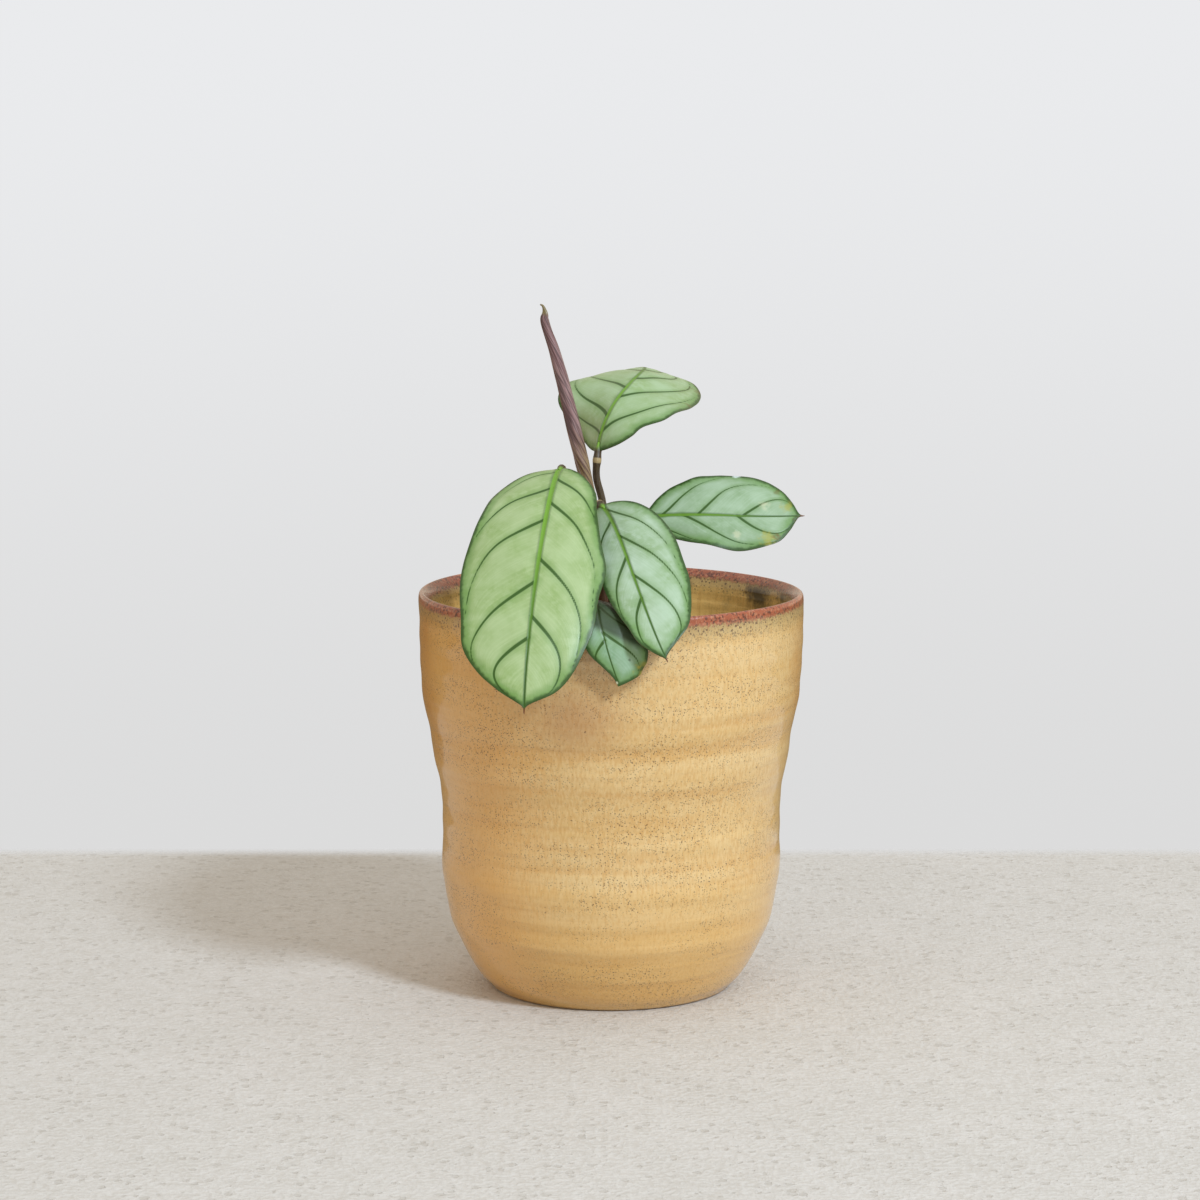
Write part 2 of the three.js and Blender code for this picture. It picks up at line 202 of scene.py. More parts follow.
# %% Soft clouds
clouds, given, made = new_group("Soft clouds", {"Per mm": 0.1, "Softness": 0.2}, "Mask")
cloud_noise = add_node(clouds, "TexNoise", {
    "Vector": given["Place"], "Scale": given["Per mm"], "Detail": 4.0, "Roughness": 0.55,
})
cloud_mask = add_node(clouds, "MapRange", {
    "Value": cloud_noise.outputs["Fac"],
    "From Min": minus(0.5, given["Softness"]), "From Max": plus(0.5, given["Softness"]),
}, interpolation_type="SMOOTHSTEP")
clouds.links.new(cloud_mask.outputs[0], made)
print("made the group", clouds.name)

# %% Specks
specks, given, made = new_group("Specks", {"Per mm": 1.0, "Size": 0.25, "Share": 0.3}, "Mask")
rough = add_node(specks, "TexNoise", {
    "Vector": given["Place"], "Scale": times(given["Per mm"], 2.2)})
shifted = vector_calc("SUBTRACT", rough.outputs["Color"], (0.5, 0.5, 0.5))
shifted = add_node(specks, "VectorMath", {
    0: shifted.outputs[0], "Scale": calc("DIVIDE", 0.75, given["Per mm"])}, operation="SCALE")
ragged_place = vector_calc("ADD", given["Place"], shifted.outputs[0]).outputs[0]
cells = add_node(specks, "TexVoronoi", {"Vector": ragged_place, "Scale": given["Per mm"]})
pick = add_node(specks, "SeparateColor", {"Color": cells.outputs["Color"]})
chosen = calc("LESS_THAN", pick.outputs["Red"], given["Share"])
cell_size = times(given["Size"], plus(pick.outputs["Green"], 0.35))
spot = add_node(specks, "MapRange", {
    "Value": minus(cell_size, cells.outputs["Distance"]), "From Min": 0.0, "From Max": 0.08})
specks.links.new(times(spot.outputs[0], chosen), made)
print("made the group", specks.name)

# %% Long fibres
fibres, given, made = new_group("Long fibres", {"Across per mm": 2.0, "Stretch": 0.05}, "Height")
parts = add_node(fibres, "SeparateXYZ", {"Vector": given["Place"]}).outputs
pulled = add_node(fibres, "CombineXYZ", {
    "X": parts["X"], "Y": parts["Y"], "Z": times(parts["Z"], given["Stretch"])})
fibres.links.new(noise_at(pulled.outputs[0], given["Across per mm"], 3.0), made)
print("made the group", fibres.name)


# %% Start a material with its shader and its place in millimetres
def new_material(name, **constants):
    """A material, its shader, and the place of each point of the surface in millimetres."""
    material = bpy.data.materials.new(name)
    material.use_nodes = True
    tree = material.node_tree
    shader = tree.nodes["Principled BSDF"]
    for socket, value in constants.items():
        shader.inputs[socket.replace("_", " ")].default_value = value
    metres = add_node(tree, "TexCoord").outputs["Object"]
    place = add_node(tree, "VectorMath", {0: metres, "Scale": 1 / MM}, operation="SCALE")
    return material, shader, place.outputs[0]


def surface_value(shader, name):
    """A measurement that a mesh carries at each of its points."""
    return add_node(shader.id_data, "Attribute", attribute_name=name).outputs["Fac"]


def finish(shader, base_colour, roughness, height, depth_mm):
    """Feed the shader its colour, its roughness, and bump as deep as the real relief is."""
    tree = shader.id_data
    feed(tree, shader.inputs["Base Color"], base_colour)
    feed(tree, shader.inputs["Roughness"], roughness)
    bump = add_node(tree, "Bump", {"Height": height, "Distance": depth_mm * MM, "Strength": 1.0})
    tree.links.new(bump.outputs[0], shader.inputs["Normal"])


# %% [markdown]
# ## Small helpers for meshes
# Every piece here is a grid of points rolled up in some way: rings round an axis or a stalk, or
# rows across a leaf. So one helper joins a grid into faces, and another makes the piece, tells
# the frame which body it rides on, and hides the plain solid that it stands for.

# %% Helpers for meshes
def grid_faces(rows, columns, closed=False):
    """The four-sided faces of a grid of points, row after row."""
    across = columns if closed else columns - 1
    row = np.arange(rows - 1)[:, None] * columns
    column = np.arange(across)[None, :]
    following = (column + 1) % columns
    corners = [row + column, row + following, row + columns + following, row + columns + column]
    return np.stack(corners, axis=2).reshape(-1, 4)


def tube_faces(rows, sides):
    """The faces of a stack of rings, and one face over each end."""
    last = (rows - 1) * sides
    caps = [list(range(sides))[::-1], [last + k for k in range(sides)]]
    return [*grid_faces(rows, sides, closed=True).tolist(), *caps]


def steps_along(line):
    """The distance from each point of a line to the next."""
    return np.linalg.norm(np.diff(line, axis=0), axis=1)


def round_turn(sides):
    return np.linspace(0, 2 * math.pi, sides, endpoint=False)


def make_piece(name, points, faces, materials, stands_for=None, values=None, picks=None):
    """A smooth mesh from points in millimetres that rides on the plant."""
    mesh = bpy.data.meshes.new(name)
    mesh.from_pydata((np.asarray(points) * MM).tolist(), [], [list(map(int, f)) for f in faces])
    for material in materials:
        mesh.materials.append(material)
    for key, numbers in (values or {}).items():
        mesh.attributes.new(key, "FLOAT", "POINT").data.foreach_set("value", np.float32(numbers))
    if picks is not None:
        mesh.polygons.foreach_set("material_index", np.int32(picks))
    mesh.shade_smooth()
    mesh.validate()
    piece = into_scene(name, mesh)
    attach(piece, BODY)
    if stands_for:
        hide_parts(stands_for)
    print(f"{name}: {len(mesh.polygons)} faces")


def stretch(start, end, leave, arrive, steps):
    """The points from start up to end, on a curve that leaves and arrives in given directions."""
    part = np.linspace(0, 1, steps, endpoint=False)[:, None]
    bend = 2 * start - 2 * end + leave + arrive
    lift = -3 * start + 3 * end - 2 * leave - arrive
    return bend * part**3 + lift * part**2 + leave * part + start


def smooth_line(stations, steps):
    """A smooth line through stations, with the same number of steps in each stretch."""
    p = np.asarray(stations, float)
    p = np.vstack([p[:1], p, p[-1:]])
    stations = zip(p, p[1:], p[2:], p[3:])
    lines = [stretch(b, c, (c - a) / 2, (d - b) / 2, steps) for a, b, c, d in stations]
    return np.vstack([*lines, p[-2:-1]])


def unit(vectors):
    lengths = np.linalg.norm(vectors, axis=-1, keepdims=True)
    return vectors / np.maximum(lengths, 1e-9)


def mixed(first, second, part):
    return first + (second - first) * part


def smoothed(value, start, end):
    part = np.clip((value - start) / (end - start), 0, 1)
    return part * part * (3 - 2 * part)


# %% Helpers for stalks: an even route, and a tube along it
def even_route(stations, rows):
    """Evenly spaced points on a curve through stations, tight where stations are close."""
    p = np.asarray(stations, float)
    p = np.vstack([2 * p[0] - p[1], p, 2 * p[-1] - p[-2]])
    fine = []
    for a, b, c, d in zip(p, p[1:], p[2:], p[3:]):
        ab, bc, cd = (math.sqrt(np.linalg.norm(v)) for v in (b - a, c - b, d - c))
        leave = ((b - a) / ab - (c - a) / (ab + bc) + (c - b) / bc) * bc
        arrive = ((c - b) / bc - (d - b) / (bc + cd) + (d - c) / cd) * bc
        fine.append(stretch(b, c, leave, arrive, 40))
    fine = np.vstack([*fine, p[-2:-1]])
    gone = np.concatenate([[0], np.cumsum(steps_along(fine))])
    stops = np.linspace(0, gone[-1], rows)
    return np.stack([np.interp(stops, gone, fine[:, axis]) for axis in range(3)], axis=1), gone[-1]


def tube(route, radii, turns, first_side=(0, -1, 0)):
    """Rings round a route. `radii` and `turns` hold one row of radii and angles for each ring."""
    along = unit(np.gradient(route, axis=0))
    side = np.array(first_side, float)
    rings = []
    for point, onward, radius, turn in zip(route, along, radii, turns):
        side = unit(side - onward * (side @ onward))
        other = np.cross(onward, side)
        outward = np.cos(turn)[:, None] * side + np.sin(turn)[:, None] * other
        rings.append(point + radius[:, None] * outward)
    return np.vstack(rings), tube_faces(*radii.shape)


def joined(shapes):
    """Several (points, faces) as one, with their faces renumbered."""
    points, faces, start = [], [], 0
    for shape_points, shape_faces in shapes:
        points.append(shape_points)
        faces += [[start + corner for corner in face] for face in shape_faces]
        start += len(shape_points)
    return np.vstack(points), faces


# %% [markdown]
# ## The pot: its shape
# A thrown pot is one turned line, so its wall is a smooth line through a few stations, swept
# round. The lip is cut to a bevel inside. The thrower's fingers leave soft rings, and the wet
# clay is never quite round or level: those are small waves added to the radius and, at the rim,
# to the height. The solid in the frame has 40 sides, and this one has 320.

# %% Turn the wall line round the axis
FOOT_RADIUS = 30.8
FOOT_EDGE = (32.3, 1.2)
FLOOR_HEIGHT = 7
FLOOR_RADIUS = 21.5
OUTER_WALL = [(35, 4), (38.5, 10), (41.7, 18), (43.8, 28), (44.1, 40), (44.5, 52), (46.9, 66),
              (49.3, 80), (50, 91)]
LIP = [(50.1, 100), (50.1, 102.4), (49.9, 103.6), (49.3, 104.1), (48.6, 103.8), (47.4, 102.3),
       (46.8, 100)]
INNER_WALL = [(46.5, 95), (45.6, 84), (43.5, 70), (40.9, 55), (39.8, 36), (37.2, 20), (32.8, 11),
              (27, 7.8)]
POT_SIDES = 320
THROWING_RINGS = (18, 33, 61, 76)
RING_RELIEF = 0.35
RING_WIDTH = 3.5


def pot_profile():
    outer = smooth_line([FOOT_EDGE, *OUTER_WALL, LIP[0]], 14)
    lip = smooth_line(LIP, 7)
    inner = smooth_line([LIP[-1], *INNER_WALL, (FLOOR_RADIUS, FLOOR_HEIGHT)], 8)
    for ring in THROWING_RINGS:
        outer[:, 0] += RING_RELIEF * np.exp(-(((outer[:, 1] - ring) / RING_WIDTH) ** 2))
    foot = [(0.01, 0.5), (FOOT_RADIUS - 3.2, 0.5), (FOOT_RADIUS - 2.4, 0), (FOOT_RADIUS, 0)]
    edge = [(FOOT_RADIUS + 0.9, 0.35)]
    line = np.vstack([foot, edge, outer, lip[1:-1], inner, [(0.01, FLOOR_HEIGHT)]])
    outside_points = len(foot) + len(edge) + len(outer)
    return line, np.clip((np.arange(len(line)) - outside_points) / len(lip[1:-1]), 0, 1)


def hand_thrown(radius, height, angle):
    """The slight swell and dip of wet clay, most where the wall is free to move."""
    free = smoothed(height, 6, 40) * (1 - smoothed(height, 97, 102))
    slow = 0.14 * np.sin(2 * angle + 0.035 * height + 0.8)
    quick = 0.09 * np.sin(3 * angle - 0.11 * height)
    ripple = 0.05 * np.sin(0.9 * height + 1.5 * np.sin(angle + 0.4))
    return radius + free * (slow + quick + ripple)


def uneven_rim(height, angle):
    """The rim rises a little at the back left and at the front right."""
    turn = angle - math.radians(135)
    rise = 0.1 + 0.15 * np.cos(turn) + 0.1 * np.sin(turn) + 0.22 * np.cos(2 * turn)
    return height + rise * smoothed(height, 92, 103)


profile, how_far_inside = pot_profile()
angle = round_turn(POT_SIDES)[None, :]
radius = hand_thrown(profile[:, :1], profile[:, 1:], angle)
pot_points = np.stack(
    [radius * np.cos(angle), radius * np.sin(angle), uneven_rim(profile[:, 1:], angle)], axis=2,
).reshape(-1, 3)
pot_faces = grid_faces(len(profile), POT_SIDES, closed=True)
print("pot line has", len(profile), "points")

# %% [markdown]
# ## The pot: its glaze
# An iron-bearing glaze breaks where it is thin. Over most of the wall it is a warm ochre with
# dark iron specks, fine vertical runs and soft level rings. It is painted browner on the left, away
# from the lamp, and darker towards the foot: painted shade. A brown patch under the leaves is a
# painted leaf shadow, and the wall's left and right edges, as seen from the front, carry a painted
# dark reflection. It thins at the rim, where red clay shows through, and a smoky green line marks
# the change; the dark patches inside the lip are partly burnt glaze and partly painted shade.
# Height, noise and place steer nearly all of it, so there is no seam round the pot. Only the glaze
# inside, painted brighter as partly its own colour and partly painted light, needs to know the
# wall's two sides: each point of the mesh carries that.

# %% Mix the glaze
OCHRE = colour(216, 178, 114)
PALE_OCHRE = colour(230, 202, 150)
HONEY = colour(200, 144, 66)
EDGE_REFLECTION_HONEY = colour(198, 130, 38)
LEFT_SHADE_HONEY = colour(222, 160, 72)
LEAF_SHADOW_BROWN = colour(164, 104, 48)
LOW_SHADE_OCHRE = colour(216, 168, 92)
INNER_BRIGHTENED_OCHRE = colour(250, 206, 120)
RED_CLAY = colour(162, 84, 54)
DARK_CLAY = colour(66, 34, 26)
PALE_CLAY = colour(204, 146, 108)
SMOKE = colour(132, 122, 86)
BURNT_AND_SHADE = colour(52, 42, 24)
IRON = colour(70, 40, 12)
BARE_FOOT = colour(176, 140, 98)
LEAF_SHADOW_PLACE = (-9.0, -46.0, 79.0)
LEAF_SHADOW_SHAPE = (0.7, 0.4, 1.0)
LEVEL_BANDS = (0.06, 0.06, 1.0)
LEVEL_DRIFTS = (0.3, 0.3, 1.0)

glaze, shader, place = new_material("ochre glaze", Coat_Weight=0.6, Coat_Roughness=0.06)
sideways, height = along_axis(place, "X"), along_axis(place, "Z")
runs = place_group(fibres, place, 1.3, 0.1)
fine_runs = place_group(fibres, place, 1.9, 0.26)
patches = place_group(clouds, place, 0.05, 0.22)
lying = vector_calc("MULTIPLY", place, LEVEL_BANDS).outputs[0]
bands = noise_at(lying, 0.13, 2.0)
rings = noise_at(lying, 0.19, 2.5)
drift = place_group(clouds, vector_calc("MULTIPLY", place, LEVEL_DRIFTS).outputs[0], 0.14, 0.1)
grain = noise_at(place, 1.4, 4.0)
print("glaze patterns laid out")

# %% Colour the glaze from the foot to the rim
# A brown patch on the front wall under the leaves: a painted shadow of the leaves.
from_leaf_shadow = vector_calc("SUBTRACT", place, LEAF_SHADOW_PLACE).outputs[0]
from_leaf_shadow = vector_calc("MULTIPLY", from_leaf_shadow, LEAF_SHADOW_SHAPE).outputs[0]
leaf_shadow_reach = vector_calc("DISTANCE", from_leaf_shadow, (0, 0, 0)).outputs["Value"]
# The wall's left and right edges, as seen from the front, are painted dark honey, weaker on the
# right: a painted reflection on the upper wall.
on_the_right = calc("GREATER_THAN", sideways, 0.0)
out_at_side = minus(calc("ABSOLUTE", sideways), times(on_the_right, 5.0))
painted_edge_reflection = soft_step(plus(out_at_side, times(patches, 5.0)), 43.0, 51.0)
painted_reflection_height = soft_step(plus(height, times(minus(runs, 0.5), 36.0)), 52.0, 76.0)
inside_mask = soft_step(surface_value(shader, "inside"), 0.7, 1.0)
body_colour = layered(
    OCHRE,
    (patches, 0.35, PALE_OCHRE),
    (soft_step(bands, 0.46, 0.66), 0.4, PALE_OCHRE),
    (soft_step(rings, 0.5, 0.34), 0.32, HONEY),
    (soft_step(fine_runs, 0.5, 0.66), 0.34, HONEY),
    (soft_step(fine_runs, 0.5, 0.36), 0.32, PALE_OCHRE),
    # Darker towards the foot, where the wall turns away from the light: a painted shade.
    (soft_step(plus(height, times(bands, 9.0)), 46, 18), 0.5, LOW_SHADE_OCHRE),
    # Browner on the left, the side away from the lamp: a painted shade.
    (soft_step(plus(sideways, times(runs, 14.0)), -4.0, -26.0), 0.55, LEFT_SHADE_HONEY),
    # The painted leaf shadow under the leaves.
    (soft_step(plus(leaf_shadow_reach, times(runs, 4.0)), 15.0, 3.0), 0.5, LEAF_SHADOW_BROWN),
    # The painted dark reflection at the left and right edges.
    (times(painted_edge_reflection, painted_reflection_height), 0.78, EDGE_REFLECTION_HONEY),
    # The glaze inside is painted brighter: partly its own colour, partly painted light in the pot's
    # mouth.
    (inside_mask, 0.92, INNER_BRIGHTENED_OCHRE),
    (times(inside_mask, soft_step(runs, 0.45, 0.7)), 0.3, HONEY),
)

crowd = plus(times(drift, 0.85), 0.15)
crowd = calc("MAXIMUM", crowd, times(soft_step(height, 84.0, 99.0), 0.8))
speck_mask = times(place_group(specks, place, 2.3, 0.34, 0.85), crowd)
speck_mask = calc("MAXIMUM", speck_mask, place_group(specks, place, 0.6, 0.13, 0.25))
speck_mask = calc("MAXIMUM", speck_mask, times(place_group(specks, place, 1.7, 0.18, 0.5), 0.7))
speck_mask = times(speck_mask, minus(1.0, times(inside_mask, 0.7)))
print("glaze body coloured")

# %% Thin the glaze at the rim and leave the foot bare
rim_height = plus(height, times(minus(grain, 0.5), 3.0))
near_rim = times(place_group(specks, place, 1.5, 0.42, 0.75), soft_step(height, 96.0, 101.0))
# Dark patches inside the lip: partly the glaze's own burnt breaks, partly a painted shade that
# grows towards the right.
inner_lip = times(inside_mask, soft_step(rim_height, 92.5, 98.5))
shade_to_the_right = plus(soft_step(sideways, -6.0, 36.0), 0.25)
burnt_and_shade = times(times(place_group(clouds, place, 0.1, 0.1), inner_lip), shade_to_the_right)
clay_mottle = place_group(specks, place, 1.5, 0.62, 0.5)
clay_colour = layered(
    RED_CLAY, (clay_mottle, 0.7, DARK_CLAY), (soft_step(grain, 0.5, 0.64), 0.45, PALE_CLAY))
rim_mask = soft_step(rim_height, 101.2, 102.4)
foot_mask = soft_step(height, 0.7, 0.2)
body_colour = layered(
    body_colour,
    (speck_mask, 0.72, IRON),
    (soft_step(rim_height, 96.5, 101.5), 0.45, SMOKE),
    (near_rim, 0.75, DARK_CLAY),
    (burnt_and_shade, 0.8, BURNT_AND_SHADE),
    (rim_mask, 1.0, clay_colour),
    (foot_mask, 1.0, BARE_FOOT),
)
gloss = plus(plus(0.3, times(foot_mask, 0.4)), times(grain, 0.1))
skin = plus(times(grain, plus(rim_mask, 0.18)), times(fine_runs, 0.25))
skin = plus(skin, times(times(clay_mottle, rim_mask), 0.6))
skin = minus(plus(skin, times(rings, 8.0)), times(speck_mask, 0.3))
finish(shader, body_colour, gloss, skin, 0.12)

make_piece("thrown_pot", pot_points, pot_faces, [glaze], "pot",
           {"inside": np.repeat(how_far_inside, POT_SIDES)})

# %% [markdown]
# ## The soil: its bed
# Potting soil is dark and crumbly, with grains of white perlite and shreds of bark. A single
# bumpy sheet would look like mud, so the work is shared: a bed carries the slow hollows and fine
# grit, and hundreds of loose crumbs lie on it. The bed runs from the wall to the hole that the
# crown stands in, so its rings change from one circle to the other on the way.

# %% Lay the bed
SOIL_LEVEL = 82
SOIL_LUMP = 0.9
SOIL_RIM_FADE = 4
SOIL_GRIT = 0.55
WALL_GAP = 0.4
CROWN_AT = (-2, -1)
CROWN_HOLE_RADIUS = 5.0
CROWN_HOLE_BOTTOM = 67.7
SOIL_SIDES = 300
SOIL_ROWS = 100

wall_line = smooth_line(INNER_WALL, 8)[::-1]
soil_edge = float(np.interp(SOIL_LEVEL, wall_line[:, 1], wall_line[:, 0])) - WALL_GAP


def soil_height(x, y):
    """The slow hollows of the surface: a few waves of unlike length."""
    coarse = np.sin(0.21 * x + 0.13 * y + 0.6) + np.sin(0.29 * y - 0.17 * x + 2.1)
    finer = np.sin(0.61 * x - 0.47 * y) + np.sin(0.53 * y + 0.71 * x + 1.3)
    inward = smoothed(soil_edge - np.hypot(x, y), 0, SOIL_RIM_FADE)
    return SOIL_LEVEL + inward * SOIL_LUMP * (0.5 * coarse + 0.35 * finer)


angle = round_turn(SOIL_SIDES)
circle = np.stack([np.cos(angle), np.sin(angle)], axis=1)
hole = circle * CROWN_HOLE_RADIUS + CROWN_AT
wall = wall_line[(wall_line[:, 1] > 10) & (wall_line[:, 1] < SOIL_LEVEL)] - (WALL_GAP, 0)
bed_rings = [
    np.column_stack([circle * radius, np.full(SOIL_SIDES, level)])
    for radius, level in [(FLOOR_RADIUS, FLOOR_HEIGHT + 0.3), *wall]
]
for part in np.linspace(0, 1, SOIL_ROWS):
    flat = mixed(circle * soil_edge, hole, part)
    grit = [noise.fractal(Vector((x * 0.9, y * 0.9, 3)), 0.7, 2.1, 4) for x, y in flat]
    bed_rings.append(np.column_stack([flat, soil_height(*flat.T) + SOIL_GRIT * np.array(grit)]))
bed_rings.append(np.column_stack([hole, np.full(SOIL_SIDES, CROWN_HOLE_BOTTOM)]))
bed_points = np.vstack(bed_rings)
bed_faces = tube_faces(len(bed_rings), SOIL_SIDES)
print("soil bed rings:", len(bed_rings), "radius at the surface", round(soil_edge, 1))

# %% [markdown]
# ## The soil: crumbs, perlite and shreds
# A crumb is a small ball pushed out of shape by a few random dents. All crumbs are made in one
# loop and joined into one mesh, which keeps the scene light. Each carries a shade of its own, so
# that no two neighbours look alike. Perlite is the same lump in white, and a shred of bark is a
# short bent tube. The seed of the random numbers is fixed, so each run lays the same soil.

# %% Shape the loose pieces
CRUMB_COUNT = 820
PERLITE_COUNT = 44
SHRED_COUNT = 80
chance = np.random.default_rng(11)

ball = bmesh.new()
bmesh.ops.create_icosphere(ball, subdivisions=2, radius=1)
ball_points = np.array([corner.co[:] for corner in ball.verts])
ball_faces = np.array([[corner.index for corner in face.verts] for face in ball.faces])
ball.free()


def free_place(size):
    """A random place on the bed, clear of the wall and of the crown."""
    while True:
        turn = chance.uniform(0, 2 * math.pi)
        reach = soil_edge * math.sqrt(chance.uniform(0.0, 1.0))
        x, y = reach * math.cos(turn), reach * math.sin(turn)
        off_the_crown = math.dist((x, y), CROWN_AT) > CROWN_HOLE_RADIUS - 0.3 + size
        if reach < soil_edge - size and off_the_crown:
            return x, y


def lump(size):
    dents = chance.normal(0, 1, (5, 3))
    swell = 1 + 0.16 * np.sin(2.2 * ball_points @ dents.T + chance.uniform(0, 6, 5)).sum(axis=1)
    shape = ball_points * swell[:, None] * chance.uniform([0.8, 0.6, 0.45], [1.2, 1, 0.8])
    turn = np.linalg.qr(chance.normal(0, 1, (3, 3)))[0]
    if np.linalg.det(turn) < 0:
        turn[:, 0] *= -1
    x, y = free_place(size)
    sunk = float(soil_height(x, y)) + chance.uniform(0.1, 0.45) * size
    return shape @ turn.T * size + (x, y, sunk), ball_faces


def scattered(count, smallest, largest, lean):
    shapes, shades = [], []
    for _ in range(count):
        shapes.append(lump(smallest + (largest - smallest) * chance.uniform(0, 1) ** lean))
        shades += [chance.uniform(0, 1)] * len(ball_points)
    return *joined(shapes), {"shade": shades}


def shred():
    length, width = chance.uniform(3, 9), chance.uniform(0.12, 0.4)
    x, y = free_place(length / 2)
    turn = chance.uniform(0, math.pi)
    reach = np.linspace(-0.5, 0.5, 9)
    bend = chance.uniform(-0.16, 0.16) * length * (4 * reach**2)
    across = length * reach
    flat_x = x + across * math.cos(turn) - bend * math.sin(turn)
    flat_y = y + across * math.sin(turn) + bend * math.cos(turn)
    line = np.column_stack([flat_x, flat_y, soil_height(flat_x, flat_y) + 0.35 + width * 0.4])
    line[:, 2] += chance.uniform(-0.25, 0.5) * reach * 2
    thick = width * np.sqrt(1 - 3.6 * reach**2)[:, None] * np.array([1, 0.55, 1, 0.55, 1, 0.55])
    return tube(line, thick, np.tile(round_turn(6), (9, 1)), (0, 0, 1))


crumbs = scattered(CRUMB_COUNT, 0.45, 2.1, 2.6)
perlite = scattered(PERLITE_COUNT, 0.4, 1.35, 1.6)
shreds = joined([shred() for _ in range(SHRED_COUNT)])
print("loose pieces:", CRUMB_COUNT, "crumbs,", PERLITE_COUNT, "grains,", SHRED_COUNT, "shreds")

# %% Finishes of the soil, and the pieces themselves
PEAT = colour(46, 33, 25)
DRY_PEAT = colour(84, 62, 46)
BARK = colour(112, 78, 52)
PERLITE_WHITE = colour(222, 218, 208)
PERLITE_SHADE = colour(176, 168, 154)


def crumbly(name, dark, light, tint_by_piece, grain_depth):
    material, shader, place = new_material(name)
    grains = noise_at(place, 2.4, 5.0)
    veil = place_group(clouds, place, 0.3, 0.2)
    tone = times(soft_step(grains, 0.35, 0.7), plus(veil, 0.3))
    if tint_by_piece:
        tone = times(tone, plus(surface_value(shader, "shade"), 0.35))
    damp = plus(0.72, times(veil, 0.24))
    finish(shader, mix_colour(tone, dark, light), damp, grains, grain_depth)
    return material


peat = crumbly("peat", PEAT, DRY_PEAT, False, 0.5)
crumb_peat = crumbly("crumb peat", PEAT, DRY_PEAT, True, 0.35)
bark = crumbly("bark shreds", DRY_PEAT, BARK, False, 0.15)
white_grain = crumbly("perlite", PERLITE_SHADE, PERLITE_WHITE, False, 0.15)
make_piece("soil_bed", bed_points, bed_faces, [peat], "potting_soil")
make_piece("soil_crumbs", crumbs[0], crumbs[1], [crumb_peat], values=crumbs[2])
make_piece("perlite_grains", perlite[0], perlite[1], [white_grain])
make_piece("bark_shreds", shreds[0], shreds[1], [bark])

# %% [markdown]
# ## The leaves: one formula for all five
# A ctenanthe blade is a thin sheet that bends along its midrib and curls across it. It could be
# sculpted, but a formula is surer: four points steer the midrib, two directions say which way
# the upper face looks, and a smooth line through a few widths gives the outline of each half,
# because the two halves of a real blade are never alike. The same formula makes the solids in the
# frame, so each blade stays exactly where its solid is.

